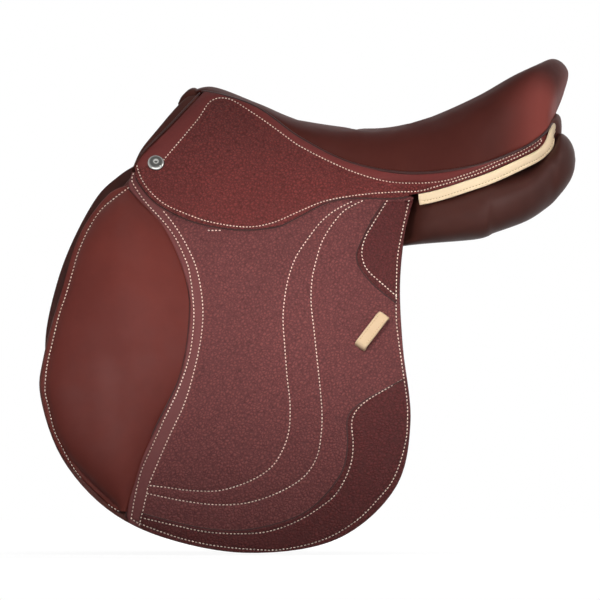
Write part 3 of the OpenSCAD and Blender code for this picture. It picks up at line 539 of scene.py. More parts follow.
def plate(name, outline, face_y, material, depth, thick, edge, step, free=None, rows=(), height=None):
    """Leather sheet on a draped face, rounded along its free edge, sunk along its rows of stitching."""
    ring = resample(outline, RING_STEP, closed=True)
    area = (ring[:, 0] * np.roll(ring[:, 1], -1) - ring[:, 1] * np.roll(ring[:, 0], -1)).sum()
    if area < 0:
        ring = ring[::-1]
    free = np.vstack([ring, ring[:1]]) if free is None else np.asarray(free, float)
    tangent = unit(np.roll(ring, -1, axis=0) - np.roll(ring, 1, axis=0))
    inward = np.stack([-tangent[:, 1], tangent[:, 0]], 1)
    taken = {}
    extra = []
    for d in (0.35 * edge, edge, 2.2 * edge):
        p = ring + d * inward
        p = p[inside(p, ring)]
        extra.extend(spaced(p[distance(p, ring, True) > 0.85 * d], 0.35, taken))
    lines = [row(r) for r in rows]
    for line in lines:
        t = unit(np.gradient(line, axis=0))
        n = np.stack([-t[:, 1], t[:, 0]], 1)
        for d in (0, 0.9, -0.9, 2.2, -2.2):
            p = line + d * n
            p = p[inside(p, ring)]
            if len(p):
                extra.extend(spaced(p[distance(p, ring, True) > 2.4 * edge], 0.7, taken))
    lo, hi = ring.min(0), ring.max(0)
    xs = np.arange(lo[0], hi[0], step)
    zs = np.arange(lo[1], hi[1], step * 0.87)
    lattice = np.array([[x + (k % 2) * step / 2, z] for k, z in enumerate(zs) for x in xs])
    lattice = lattice[inside(lattice, ring)]
    lattice = lattice[distance(lattice, ring, True) > 2.4 * edge + 0.3 * step]
    for line in lines:
        lattice = lattice[distance(lattice, line) > 2.2 + 0.35 * step]
    flat = np.vstack([ring] + [np.array(k).reshape(-1, 2) for k in (extra, lattice)])
    n_ring = len(ring)
    sides = [(k, (k + 1) % n_ring) for k in range(n_ring)]
    points, _, inner, source, _, _ = geometry.delaunay_2d_cdt([Vector(p) for p in flat], sides, [], 1, 1e-6)
    p = np.array([list(v) for v in points])
    where = {k: i for i, ks in enumerate(source) for k in ks}
    drop = rounded(distance(p, free), edge)
    swell = np.zeros(len(p))
    if lines:
        swell -= sunk(nearest(p, lines), ROW_SINK, ROW_HALF)
    if height is not None:
        swell += height(p)
    front = draped(p, depth + drop - swell, face_y)
    back = draped(p, depth + thick - np.minimum(drop, 0.4 * thick) * 0.6, face_y)
    n = len(p)
    faces = [list(f) for f in inner]
    faces += [[n + k for k in reversed(f)] for f in inner]
    walls = len(faces)
    for k, m in sides:
        a, b = where[k], where[m]
        faces.append([b, a, n + a, n + b])
    return add_piece(name, np.vstack([front, back]), faces, material, extra=(edge_dye_and_shade, range(walls, len(faces))))


# Materials

def srgb(*rgb):
    c = np.array(rgb, float) / 255
    return tuple(np.where(c <= 0.04045, c / 12.92, ((c + 0.055) / 1.055) ** 2.4)) + (1.0,)


def shade(colour, f):
    return tuple(f * k for k in colour[:3]) + (1.0,)


class Shader:
    """A material under construction; an input's value is a constant or the output of another node."""

    def __init__(self, name):
        self.material = bpy.data.materials.new(name)
        self.material.use_nodes = True
        self.tree = self.material.node_tree
        self.bsdf = self.tree.nodes["Principled BSDF"]
        self.where = self.add("ShaderNodeTexCoord").outputs["Object"]

    def plug(self, node, values):
        for k, v in values.items():
            if isinstance(v, bpy.types.NodeSocket):
                self.tree.links.new(v, node.inputs[k])
            else:
                node.inputs[k].default_value = v

    def add(self, kind, values=None, **settings):
        n = self.tree.nodes.new(kind)
        for k, v in settings.items():
            setattr(n, k, v)
        self.plug(n, values or {})
        return n

    def set(self, **values):
        self.plug(self.bsdf, {k.replace("_", " "): v for k, v in values.items()})

    def noise(self, scale, detail=3.0, rough=0.55, vector=None, output="Fac"):
        values = {"Scale": scale, "Detail": detail, "Roughness": rough, "Vector": vector or self.where}
        return self.add("ShaderNodeTexNoise", values).outputs[output]

    def attribute(self, name):
        return self.add("ShaderNodeAttribute", attribute_name=name).outputs["Fac"]

    def mapped(self, vector, **values):
        return self.add("ShaderNodeMapping", {"Vector": vector, **values}).outputs[0]

    def math(self, kind, a, b):
        return self.add("ShaderNodeMath", {0: a, 1: b}, operation=kind).outputs[0]

    def span(self, value, lo, hi, to_lo, to_hi, kind="LINEAR"):
        values = {"Value": value, "From Min": lo, "From Max": hi, "To Min": to_lo, "To Max": to_hi}
        return self.add("ShaderNodeMapRange", values, interpolation_type=kind).outputs["Result"]

    def blend(self, share, a, b):
        return self.add("ShaderNodeMix", {"Factor": share, 6: a, 7: b}, data_type="RGBA").outputs[2]

    def bump(self, height, strength, distance):
        values = {"Strength": strength, "Distance": distance, "Height": height}
        self.set(Normal=self.add("ShaderNodeBump", values).outputs["Normal"])

    def warped(self, amount, scale):
        """Places on the piece, moved about by a noise."""
        moves = {0: self.noise(scale, 2, 0.5, output="Color"), 1: (0.5, 0.5, 0.5)}
        less = self.add("ShaderNodeVectorMath", moves, operation="SUBTRACT").outputs[0]
        scaled = self.add("ShaderNodeVectorMath", {0: less, "Scale": amount}, operation="SCALE").outputs[0]
        return self.add("ShaderNodeVectorMath", {0: self.where, 1: scaled}, operation="ADD").outputs[0]


GRAIN_CELL, GRAIN_ROUGH = 2.7, 0.56


def grained(name, colour, deep, strength=0.9, depth=0.85, masked=True):
    """Pebbled leather: small domed grains that run aslant, with darker valleys that are partly the leather's colour and
    partly painted shade, over slow changes of colour; plain where grain is 0.
    """
    s = Shader(name)
    turned = s.mapped(s.warped(0.003, 170), Rotation=(0, math.radians(42), 0))
    cells = {"Scale": 1000 / GRAIN_CELL, "Vector": s.mapped(turned, Scale=(0.66, 1, 1))}
    edge = s.add("ShaderNodeTexVoronoi", cells, feature="DISTANCE_TO_EDGE").outputs["Distance"]
    uneven = s.noise(330, 3, 0.6)
    grain = s.math("ADD", s.span(edge, 0.0, 0.4, 0.0, 1.0), s.math("MULTIPLY", uneven, 0.6))
    # Darker valleys between the grains: partly the leather's colour, partly painted shade.
    valley_tint_and_shade = s.math("MULTIPLY", s.span(edge, 0.02, 0.34, depth, 0.0), s.span(uneven, 0.3, 0.7, 1.0, 0.5))
    slow = s.math("ADD", s.math("MULTIPLY", s.noise(9), 0.6), s.math("MULTIPLY", s.noise(90, 4), 0.4))
    tone = s.blend(s.span(slow, 0.36, 0.64, 0.0, 1.0), shade(colour, 0.86), colour)
    tone = s.blend(valley_tint_and_shade, tone, deep)
    if masked:
        share = s.attribute("grain")
        grain = s.math("MULTIPLY", grain, share)
        plain = tuple(0.68 * k + 0.08 * d for k, d in zip(colour[:3], deep)) + (1.0,)
        tone = s.blend(share, plain, tone)
    s.bump(grain, strength, 0.0008)
    s.set(Base_Color=tone)
    s.set(Roughness=s.span(s.noise(300), 0.3, 0.7, GRAIN_ROUGH - 0.07, GRAIN_ROUGH + 0.08))
    s.set(Specular_IOR_Level=0.18)
    return s.material


def smooth(name, colour, deep, rough, coat=0.0, pores=0.12, painted_light=None, shine=0.2):
    """Smooth calf: fine pores, faint stretch lines and a soft sheen; the optional lighter colour is painted light,
    blended in where the attribute of the same name is 1.
    """
    s = Shader(name)
    fine = s.math("ADD", s.noise(1500, 2), s.math("MULTIPLY", s.noise(160, 5, 0.65, s.warped(0.004, 30)), 1.4))
    s.bump(fine, pores, 0.0005)
    slow = s.math("ADD", s.math("MULTIPLY", s.noise(8), 0.65), s.math("MULTIPLY", s.noise(55, 5), 0.35))
    tone = s.blend(s.span(slow, 0.34, 0.66, 0.0, 1.0), deep, colour)
    # Painted light: the lighter colour is blended in by the attribute.
    if painted_light:
        tone = s.blend(s.attribute("painted_light"), tone, painted_light)
    s.set(Base_Color=tone)
    s.set(Roughness=s.span(s.noise(38, 4), 0.3, 0.7, rough - 0.05, rough + 0.08))
    s.set(Specular_IOR_Level=shine, Coat_Weight=coat, Coat_Roughness=0.35)
    return s.material


def fibrous(name, colour, deep, rough):
    """Thread: fine uneven fibres."""
    s = Shader(name)
    s.bump(s.noise(1400, 4, 0.7), 0.5, 0.0006)
    s.set(Base_Color=s.blend(s.noise(1400 * 0.4, 3), deep, colour))
    s.set(Roughness=s.span(s.noise(1400), 0.3, 0.7, rough - 0.1, rough + 0.1))
    s.set(Sheen_Weight=0.15)
    return s.material


def metal(name, colour, rough, brush, dark_reflection=None):
    """Metal with faint brush marks; the optional dark colour is painted reflection, used where the tone attribute is 0.
    """
    s = Shader(name)
    s.set(Roughness=s.span(s.noise(brush, 4), 0.3, 0.7, rough * 0.7, rough * 1.35))
    tone = s.blend(s.noise(brush * 0.3), colour, shade(colour, 0.82))
    if dark_reflection:
        tone = s.blend(s.attribute("tone"), dark_reflection, tone)
    s.set(Base_Color=tone)
    s.bump(s.noise(brush, 3), 0.06, 0.0003)
    s.set(Metallic=1.0)
    return s.material


def woven(name, colour, deep):
    """Linen web: two sets of threads crossing."""
    s = Shader(name)
    waves = []
    for way in ("X", "Z"):
        values = {"Scale": 320, "Distortion": 1.2, "Vector": s.where}
        w = s.add("ShaderNodeTexWave", values, wave_type="BANDS", bands_direction=way)
        waves.append(w.outputs["Fac"])
    weave = s.math("MULTIPLY", *waves)
    s.bump(weave, 0.6, 0.0006)
    s.set(Base_Color=s.blend(weave, deep, colour))
    s.set(Roughness=0.85, Sheen_Weight=0.2)
    return s.material


def timber(name, colour, deep):
    """Wood with its grain along X."""
    s = Shader(name)
    rings = s.noise(1.0, 6, 0.6, s.mapped(s.where, Scale=(14, 160, 160)))
    s.set(Base_Color=s.blend(s.span(rings, 0.3, 0.7, 0, 1), deep, colour))
    s.bump(rings, 0.15, 0.0005)
    s.set(Roughness=s.span(rings, 0.3, 0.7, 0.55, 0.42))
    return s.material


flap_leather = grained("flap_leather", srgb(121, 67, 66), srgb(56, 23, 23))
patch_leather = grained("patch_leather", srgb(96, 43, 42), srgb(44, 15, 15), masked=False)
skirt_leather = grained("skirt_leather", srgb(124, 56, 53), srgb(54, 17, 15), strength=1.0, depth=0.9)
block_leather = smooth("block_leather", srgb(97, 37, 29), srgb(86, 30, 23), 0.56, shine=0.26)
# The seat's lighter colour is painted light on the cantle's flanks and back.
seat_leather = smooth("seat_leather", srgb(76, 34, 28), srgb(68, 29, 24), 0.55, painted_light=srgb(138, 67, 60), shine=0.1)
panel_leather = smooth("panel_leather", srgb(68, 35, 29), srgb(56, 28, 23), 0.52, shine=0.18)
facing_leather = smooth("facing_leather", srgb(84, 46, 39), srgb(70, 36, 30), 0.55, shine=0.08)
dark_leather = smooth("dark_leather", srgb(76, 44, 39), srgb(60, 33, 29), 0.52, pores=0.2, shine=0.1)
back_leather = smooth("back_leather", srgb(92, 50, 44), srgb(68, 34, 30), 0.55, pores=0.3)
strap_leather = smooth("strap_leather", srgb(84, 44, 38), srgb(60, 29, 25), 0.5, coat=0.05, pores=0.25)
cream_leather = smooth("cream_leather", srgb(242, 218, 184), srgb(234, 206, 168), 0.5, coat=0.03, pores=0.22)
# Darker copy of the cream leather for the keeper: painted shade.
keeper_leather = smooth("keeper_leather", srgb(208, 182, 151), srgb(199, 171, 138), 0.5, coat=0.03, pores=0.22)
# Dark dye of the cut edges, also used for painted shadow lines and painted shade in the needle holes.
edge_dye_and_shade = smooth("edge_dye_and_shade", srgb(62, 30, 27), srgb(44, 19, 17), 0.4, coat=0.2)
thread = fibrous("thread", srgb(248, 232, 216), srgb(226, 204, 186), 0.6)
cream_thread = fibrous("cream_thread", srgb(196, 160, 118), srgb(160, 124, 86), 0.65)
web = woven("web", srgb(214, 202, 172), srgb(160, 146, 116))
wood = timber("wood", srgb(196, 154, 102), srgb(140, 98, 58))
steel = metal("steel", (0.56, 0.57, 0.58, 1.0), 0.34, 260)
bright = metal("bright", (0.62, 0.61, 0.58, 1.0), 0.12, 60)
# Chrome nail whose dark rings are painted reflection.
nail_metal = metal("nail_metal", (0.62, 0.61, 0.58, 1.0), 0.1, 60, (0.035, 0.032, 0.03, 1.0))


# Seat with its welt

SEAT_THICK = 4.4
half_v = np.linspace(0, 1, 34) ** 1.35
t, v = np.meshgrid(np.linspace(0, SEAM_END, 133), np.concatenate([half_v, 2 - half_v[-2::-1]]), indexing="ij")
side_v = np.minimum(v, 2 - v)
free = ease((side_v - 0.12) / 0.3) * ease((t - 1.5) / 1.5) * ease((8 - t) / 1.5)
seat_outer = seat_pt(t, v) - (2.5 * free * ease((t - 3.4) / 1.6))[..., None] * np.array([0, 0, 1.0])
border_t = t[:, 0]
seam_in = seam_inward(border_t)
hem = np.stack([spline(seam_line, border_t) + a * seam_in - [0, 0, b]
                for a, b in ((2.4, 14), (2.3, 8), (2.1, 3.6), (1.3, 1.0))], 1)
hem_in = hem + np.stack([1.2 * seam_in] * 3 + [1.5 * seam_in - [0, 0, 0.6]], 1)
verts, faces, _ = shell(np.concatenate([hem, seat_outer, hem[:, ::-1] * FLIP], 1),
                        np.concatenate([hem_in, seat_pt(t, v, SEAT_THICK), hem_in[:, ::-1] * FLIP], 1))
seat = add_piece("seat_skin", verts, faces, seat_leather, 60)
settle(seat, "saddle", "seat_leather", "seat_cover", "seat_foam")
held = np.concatenate([np.ones((len(t), 4)), 1 - free, np.ones((len(t), 4))], 1).reshape(-1)
inflate(seat, np.concatenate([held, np.ones(len(held))]), pressure=3.0, cap=1.4)
# Painted light: lighter on the cantle's flanks and, at half strength, over its back, where the light falls on them.
painted_light = np.maximum(ease((t - 6.3) / 1.6) * ease((0.62 - side_v) / 0.4), 0.5 * ease((t - 8.4) / 1.2))
painted_light = np.concatenate([painted_light[:, :1]] * 4 + [painted_light] + [painted_light[:, -1:]] * 4, 1).reshape(-1)
paint(seat, "painted_light", np.concatenate([painted_light, painted_light]))

welt_t = np.linspace(0.95, SEAM_END, 150)
welt = both_halves(spline(seam_line, welt_t) - 0.7 * seam_inward(welt_t) - np.array([0, 0, 0.4]))
settle(add_piece("seam_welt", *tube(welt, 1.5), edge_dye_and_shade), "saddle", "dark_leather")


# Skirts: fixed upper part with a padded roll above its stitching, and the lobe that lifts

SKIRT_END, ROLL_LIFT, SKIRT_PUFF, SKIRT_THICK, SKIRT_ROUND = 8.05, 1.7, 0.7, 3.0, 1.4
t, v = np.meshgrid(np.linspace(1, SKIRT_END, 260), np.linspace(0, 1, 46), indexing="ij")
face = skirt_pt(t, v)
out = grid_normals(face, np.array([0, -1.0, 0.35]))
xz = face[..., [0, 2]].reshape(-1, 2)
front_line = skirt_pt(np.full(30, 1.0), np.linspace(0, 1, 30))[:, [0, 2]]
seam_xz = spline(seam_line, np.linspace(1, SKIRT_END, 200))[:, [0, 2]]
top_edge = np.vstack([front_line, seam_xz])
upper_line = row(skirt_upper_row)
lower_line = row(skirt_lower_row)
d_row, d_edge, d_low = distance(xz, upper_line), distance(xz, top_edge), distance(xz, lower_line)
in_roll = inside(xz, np.vstack([upper_line, top_edge[::-1]]))
share = d_row / (d_row + d_edge + 1e-6)
lift = np.where(in_roll, ROLL_LIFT * np.maximum(4 * share * (1 - share), 0) ** 0.6, 0)
lift += np.where(in_roll, 0, SKIRT_PUFF * (1 - np.exp(-np.minimum(d_row, d_low) / 9)))
lift -= sunk(d_row, 0.5, 1.2) + sunk(d_low, 0.45, 1.2)
lift *= np.maximum(ease(v.reshape(-1) / 0.12), 0.15)
edge_gap = np.linalg.norm(face - face[:1], axis=-1).reshape(-1)
on_tail = ease((t.reshape(-1) - 4.4) / 0.6) > 0.5
foot_gap = np.where(on_tail, np.linalg.norm(face - face[:, :1], axis=-1).reshape(-1), 9)
lift -= rounded(np.minimum(edge_gap, foot_gap), SKIRT_ROUND)
outer = face + out * lift.reshape(t.shape)[..., None]
verts, faces, walls = shell(outer, face - SKIRT_THICK * out)
skirt = add_piece("skirt_skin", verts, faces, skirt_leather, extra=(edge_dye_and_shade, walls))
bare = np.where(in_roll, 0.1, 1.0) * np.clip((d_row - 0.5) / 3, 0.1, 1)
paint(skirt, "grain", np.concatenate([bare, 0.3 * np.ones(len(bare))]))
skirts = settle_both(skirt, "saddle", "skirt_leather", "skirt_top_{}")

edge_line = np.vstack([lobe_edge[:-1], [[100, 5.6], [111, 3.4], [121, 0.6]]])
lobe_line = np.array([under_fold(x, d) for x, d in curve(edge_line, 8)])
lobe_top = np.array([under_fold(x, -1.6) for x in np.linspace(122, -176, 120)])


def lobe_y(x, z, depth):
    tuck = np.clip((z - fold_height(x)) / 1.6, 0, 1)
    return flap_y(x, z, depth + 0.5 * tuck)


def lobe_height(p):
    d = nearest(p, [lower_line, lobe_line])
    return 0.6 * (1 - np.exp(-d / 9)) * ease((fold_height(p[:, 0]) - p[:, 1]) / 9)


lobe = plate("lobe_skin", np.vstack([lobe_line, lobe_top]), lobe_y, skirt_leather, depth=0, thick=SKIRT_THICK,
             edge=SKIRT_ROUND, step=4, free=lobe_line, rows=[skirt_lower_row], height=lobe_height)
paint(lobe, "grain", np.ones(len(lobe.data.vertices)))
lobes = settle_both(lobe, "skirt_{}", "skirt_leather", "skirt_lobe_{}")


# Flaps: base, grained panel with its beaded S edge, overlays at the rear

RECESS_FRONT, RECESS_REAR, RECESS_DROP, RECESS_ROUND, TOP_DROP = -145, -26, 36, 8, 2.4


def recess_corner(x, way, degrees):
    return [under_fold(x + way * RECESS_ROUND * (1 - math.cos(a)), RECESS_DROP - RECESS_ROUND * (1 - math.sin(a)))
            for a in np.radians(degrees)]


whole_rim = rim_part(0, 16)
top_line = np.array(
    [under_fold(121, TOP_DROP), under_fold(RECESS_REAR, TOP_DROP)] + recess_corner(RECESS_REAR, -1, [0, 30, 60, 90])
    + recess_corner(RECESS_FRONT, 1, [90, 60, 30, 0])
    + [under_fold(RECESS_FRONT, TOP_DROP), under_fold(-180, TOP_DROP)])
base = plate("flap_back", np.vstack([whole_rim, top_line]), flap_y, back_leather, depth=5.3, thick=3.0,
             edge=1.0, step=7, free=whole_rim)
settle_both(base, "flap_{}", "strap_leather", "flap_base_{}")

s_curve = curve(s_edge, 8)
panel_rows = [s_row, s_row_two, inner_row, outer_row, rear_row]
panel_lines = [row(r) for r in panel_rows]


def panel_height(p):
    d_s = distance(p, s_curve)
    bead = 1.1 * np.sqrt(np.maximum(1 - ((d_s - 2.2) / 2.6) ** 2, 0))
    puff = 1.0 * (1 - np.exp(-nearest(p, panel_lines) / 10))
    return np.where(d_s < 4.8, bead, puff)


def flap_grain(ob):
    """Full grain behind the second row of the S edge, smooth in front of it."""
    co = np.zeros(len(ob.data.vertices) * 3)
    ob.data.vertices.foreach_get("co", co)
    p = co.reshape(-1, 3)[:, [0, 2]] / MM
    line = row(s_row_two)
    ahead = np.vstack([line, [[-176, -340], [-320, -340], [-320, 80], [-145.5, 80]]])
    return np.where(inside(p, ahead), 0.12, np.clip(distance(p, line) / 3, 0.12, 1))


free_edge = np.vstack([s_curve, rim_part(RIM_FOOT, 16)])
panel = plate("flap_skin", np.vstack([free_edge, top_line]), flap_y, flap_leather, depth=3.3, thick=1.95,
              edge=1.6, step=4, free=free_edge, rows=panel_rows, height=panel_height)
paint(panel, "grain", flap_grain(panel))
flaps = settle_both(panel, "flap_{}", "grain_leather", "flap_panel_{}")


def overlay(name, node, outline, cut, cut_row):
    """Patch sewn on the flap, with a low bead along its cut edge."""
    rows = [cut_row, rear_row]
    lines = [row(r) for r in rows]

    def height(p):
        d = distance(p, cut)
        bead = 0.5 * np.sqrt(np.maximum(1 - ((d - 1.9) / 2.1) ** 2, 0))
        return np.where(d < 4, bead, 0.5 * (1 - np.exp(-nearest(p, lines) / 8)))

    patch = plate(name, outline, flap_y, patch_leather, depth=1.7, thick=1.7, edge=1.1, step=4, rows=rows,
                  height=height)
    return settle_both(patch, "flap_{}", "grain_leather", node)


upper_line_cut, lower_line_cut = curve(upper_cut, 8), curve(lower_cut, 8)
upper_patches = overlay("rear_patch", "upper_patch_{}", np.vstack([rim_part(RIM_UPPER, 15.88), upper_line_cut]),
                        upper_line_cut, upper_patch_row)
lower_patches = overlay("corner_patch", "lower_patch_{}",
                        np.vstack([lower_line_cut, rim_part(RIM_FOOT + 0.2, RIM_LOWER)]),
                        lower_line_cut, lower_patch_row)

sweat_outline = np.vstack([curve(sweat_front, 6), [under_fold(104, 3), under_fold(-178, 3)]])
sweat = plate("sweat_skin", sweat_outline, sweat_y, dark_leather, depth=0, thick=3.0, edge=1.3, step=7)
settle_both(sweat, "saddle", "dark_leather", "sweat_flap_{}")


# Knee blocks: a sewn flange, then a stuffed swell that falls to the S edge

BLOCK_DEPTH, BLOCK_SWELL = 5.0, 19
block_front = flap_xz([
    [-154, -3], [-176.5, -14.5], [-206, -57], [-226.5, -124], [-242, -187], [-245, -230], [-223, -293], [-168, -351]])
block_rear = flap_xz([
    [-149, -8], [-137, -20], [-111, -48], [-90, -100], [-85, -142], [-95, -207], [-124, -269], [-151, -352]])
r, c = np.meshgrid(np.linspace(0, 1, 120), np.linspace(0, 1, 60), indexing="ij")
plan = mix(spline(block_front, r * 7), spline(block_rear, r * 7), c[..., None])
flat = plan.reshape(-1, 2)
d_front, d_rear = distance(flat, curve(block_front, 20)), distance(flat, curve(block_rear, 20))
d_row = distance(flat, row(block_row))
d_in = np.maximum(d_front - 5.5, 0)
d_back = np.maximum(d_rear - 3.5, 0)
share = d_in / (d_in + d_back + 1e-6)
swell = BLOCK_SWELL * (1 - np.exp(-(d_in + d_back) / 42))
swell = swell * np.maximum(4 * share * (1 - share), 0) ** mix(0.62, 0.95, ease(share))
lump = 1.6 * ease(d_rear / 6) + swell - sunk(d_row, 0.5, 1.3)
lump -= 1.2 * np.clip(1 - d_front / 1.3, 0, 1) ** 2
block_outer = draped(plan, BLOCK_DEPTH - lump.reshape(r.shape))
verts, faces, _ = shell(block_outer, draped(plan, BLOCK_DEPTH))
block = add_piece("block_skin", verts, faces, block_leather, 50)
held = 1 - ease((np.minimum(d_front - 6.5, d_rear - 5)) / 8)
inflate(block, np.concatenate([held, np.ones(len(held))]), pressure=4.0, cap=4.0)
blocks = settle_both(block, "flap_{}", "block_leather", "knee_cover_{}", "knee_foam_{}", fill=0.75)


# Panels under the saddle

RINGS, ROUND = 130, 56
ring_angle = np.linspace(0, 2 * np.pi, ROUND, endpoint=False)
ends = 0.5 - 0.5 * np.cos(np.linspace(0, np.pi, RINGS))
along = (len(panel_stations) - 1) * mix(np.linspace(0, 1, RINGS), ends, 0.5)
t, a = np.meshgrid(along, ring_angle, indexing="ij")
verts, faces = loft(panel_pt(t, a, 0.3), 0.5)
cushion = add_piece("panel_skin", verts, faces, panel_leather, 60)
against = 1 - ease((np.sin(ring_angle - 0.5) * -1 + 0.35) / 0.5)
held = np.concatenate([np.tile(against, RINGS), np.ones(len(verts) - RINGS * ROUND)])
inflate(cushion, held, pressure=3.0, cap=1.6)
settle_both(cushion, "saddle", "dark_leather", "panel_cover_{}", "panel_core_{}", fill=0.7)


# Facing of the head: a leather roll round the front of its arch

foot = skirt_pt(np.full(5, 1.0), np.array([0.03, 0.25, 0.5, 0.75, 0.93])) - [1.6, 0, 0]
lip = seat_pt(np.zeros(3), np.array([0, 0.5, 1.0])) - np.array([[1.6, 0, 0.5], [0.8, 0, 1.2], [0.4, 0, 1.6]])
path = both_halves(curve(np.vstack([foot, lip]), 10))
widths = and_back(curve([1.5, 7, 12, 14.5, 14, 7, 2.6, 1.2], 10))
d = np.gradient(path, axis=0)
into = unit(np.stack([0 * d[:, 0], d[:, 2], -d[:, 1]], 1))
rings = []
for q, i, w in zip(path, into, widths):
    profile = curve([[-1.2, 0.6], [0.3, -0.4], [0.3 * w, 0], [0.62 * w, 0.6], [0.86 * w, 1.7], [w, 4.2], [w - 0.3, 8],
                     [w - 1.2, 15], [w - 2.2, 23], [w - 3.2, 24], [w - 4.2, 23], [w - 3.4, 15], [w - 2.6, 8],
                     [0.6 * w - 0.6, 4], [-1, 2.6], [-1.2, 0.6]], 2)[:-1]
    rings.append(q - profile[:, :1] * np.array([1.0, 0, 0]) + profile[:, 1:] * i)
settle(add_piece("facing_skin", *loft(rings), facing_leather, 60), "saddle", "dark_leather", "pommel_facing")

# Rolled edge of the head, from one front corner over the top to the other, and a fine cord along each skirt's front
path = both_halves(curve([
    [-127.5, -29, 144], [-122.8, -28, 150], [-116.5, -24, 155.2], [-114.5, -12, 157.2], [-114, 0, 157.6]], 8))
sizes = and_back(curve([4.4, 6.2, 7.2, 6.6, 6.4], 8))
settle(add_piece("head_roll", *tube(path, sizes, 20), facing_leather, 60), "saddle", "dark_leather")
cord = skirt_pt(np.full(40, 1.0), np.linspace(0.16, 0.97, 40)) - [2.6, 1.0, 0]
settle_both(add_piece("front_cord", *tube(cord, 0.9), edge_dye_and_shade, 60), "saddle", "dark_leather")


# Cream band round the cantle, and the pad that closes the middle of the cantle's back

def round_cantle(t, up, out):
    """Rings along the band: up from its middle line, and out from the cantle."""
    left = band_mid(t)[:, None] + up[..., None] * band_up(t)[:, None] - out[..., None] * seam_inward(t)[:, None]
    return both_halves(left)


profile = np.array([
    [-6, 0.1], [-5.8, 0.6], [-5.0, 1.0], [-3.7, 1.2], [-2.9, 1.05], [-2.4, 0.8], [-1.9, 1.1], [-0.8, 1.5],
    [1.0, 1.7], [3.0, 1.6], [4.6, 1.3], [5.6, 0.8], [6, 0.1], [5.8, -1.2], [3, -1.9], [-3, -1.9], [-5.8, -1.2]])
rings = round_cantle(np.linspace(5.12, SEAM_END, 160), *profile.T)
settle(add_piece("band_skin", *loft(rings, 0.6), cream_leather, 55), "saddle", "cream_leather", "cantle_band")

PAD_START = 9.05
rt = np.linspace(PAD_START, SEAM_END, 60)
heights = np.array([9, 7.5, 5, 1, -5, -13, -22, -31, -36, -33, -20, -4, 6])
bulge = np.array([-1.6, 1.6, 3.4, 4.5, 4.9, 4.6, 3.4, 1.2, -2, -6, -9, -9, -6])
full = ease((rt[:, None] - PAD_START - 0.012 * (7.5 - heights)) / 0.75)
rings = round_cantle(rt, heights, mix(np.minimum(bulge, 0.2) - 1.6, bulge, full))
settle(add_piece("rear_skin", *loft(rings, 0.4), facing_leather, 60), "saddle", "dark_leather", "rear_facing")


# Nails and keepers

def nail():
    place = skirt_pt(np.array([1.3]), np.array([0.1]))[0]
    n = grid_normals(skirt_pt(*np.meshgrid([1.28, 1.32], [0.08, 0.12], indexing="ij")), np.array([0, -1.0, 0]))[0, 0]
    side = unit(np.cross(n, [0, 0, 1.0]))
    up = np.cross(side, n)
    dome = [[9 * math.cos(a), 0.8 + 3.2 * math.sin(a)] for a in np.radians(range(12, 74, 6))]
    outline = [[9.3, -0.4], [9.4, 0.4], [9.0, 1.2]] + dome
    outline += [[2.3, 4.0], [1.9, 3.9], [1.5, 3.3], [1.0, 3.0], [0.5, 2.9]]
    sides = 48
    a = np.linspace(0, 2 * np.pi, sides, endpoint=False)
    rings = [place + n * h + r * (np.cos(a)[:, None] * side + np.sin(a)[:, None] * up) for r, h in outline]
    ob = add_piece("nail_dome", *loft(rings), nail_metal, 35)
    # Painted reflection: dark and bright rings of tone across the dome.
    reflection_rings = np.interp([r for r, h in outline], [0.4, 1.2, 1.9, 2.6, 3.4, 6.2, 7.4, 8.6, 9.4],
                      [0.1, 0.2, 0.9, 0.7, 0.12, 0.1, 0.5, 0.75, 0.35])
    paint(ob, "tone", np.concatenate([np.repeat(reflection_rings, sides), np.repeat([reflection_rings[0], reflection_rings[-1]], sides + 1)]))
    return ob


settle_both(nail(), "saddle", "bright_metal", "pommel_nail_{}")


KEEPER_HEIGHT = 5.2


def keeper():
    """Loop that stands square on the flap; also gives its middle and its directions."""
    x, z = flap_xz([[107, -160]])[0]
    face = lambda dx, dz: float(flap_y(x + dx, z + dz, 3.1))
    way_x = unit(np.array([1, (face(8, 0) - face(-8, 0)) / 16, 0]))
    way_z = unit(np.array([0, (face(0, 8) - face(0, -8)) / 16, 1]))
    out = unit(np.cross(way_x, way_z))
    turn = math.radians(54)
    along = unit(math.cos(turn) * way_x + math.sin(turn) * way_z)
    across = np.cross(along, out)
    inner = curve([
        [-21.2, -1.5], [-21, 1], [-20.6, 3.2], [-19.4, 4.6], [-16.5, 5.1], [0, KEEPER_HEIGHT], [16.5, 5.1],
        [19.4, 4.6], [20.6, 3.2], [21, 1], [21.2, -1.5]], 6)
    d = unit(np.gradient(inner, axis=0))
    n = np.stack([-d[:, 1], d[:, 0]], 1)
    section = curve([
        [-6.5, 0.3], [-6.6, 1.1], [-6.1, 1.9], [-5.0, 2.25], [-4.1, 2.0], [-3.2, 2.3], [0, 2.4], [3.2, 2.3], [4.1, 2.0],
        [5.0, 2.25], [6.1, 1.9], [6.6, 1.1], [6.5, 0.3], [5.6, 0], [-5.6, 0], [-6.5, 0.3]], 3)[:-1]
    base = np.array([x, face(0, 0), z])
    rings = []
    for q, m in zip(inner, n):
        at = q + section[:, 1:] * m
        rings.append(base + at[:, :1] * along + at[:, 1:] * out + section[:, :1] * across)
    return add_piece("keeper_loop", *loft(rings, 0.2), keeper_leather, 50), base, along, across, out


loop, loop_base, loop_along, loop_across, loop_out = keeper()
settle_both(loop, "flap_{}", "cream_leather", "keeper_{}")


# Dark lines: dyed cut edges along the patches, and painted shadow lines under the lobe's edge and along the front of
# the S edge

def dye_and_shadow_line(name, line, depth, body, radius):
    path = draped(resample(line, 2.5), depth)
    settle_both(add_piece(name, *tube(path, radius, 8), edge_dye_and_shade, 60), body, "dark_leather")


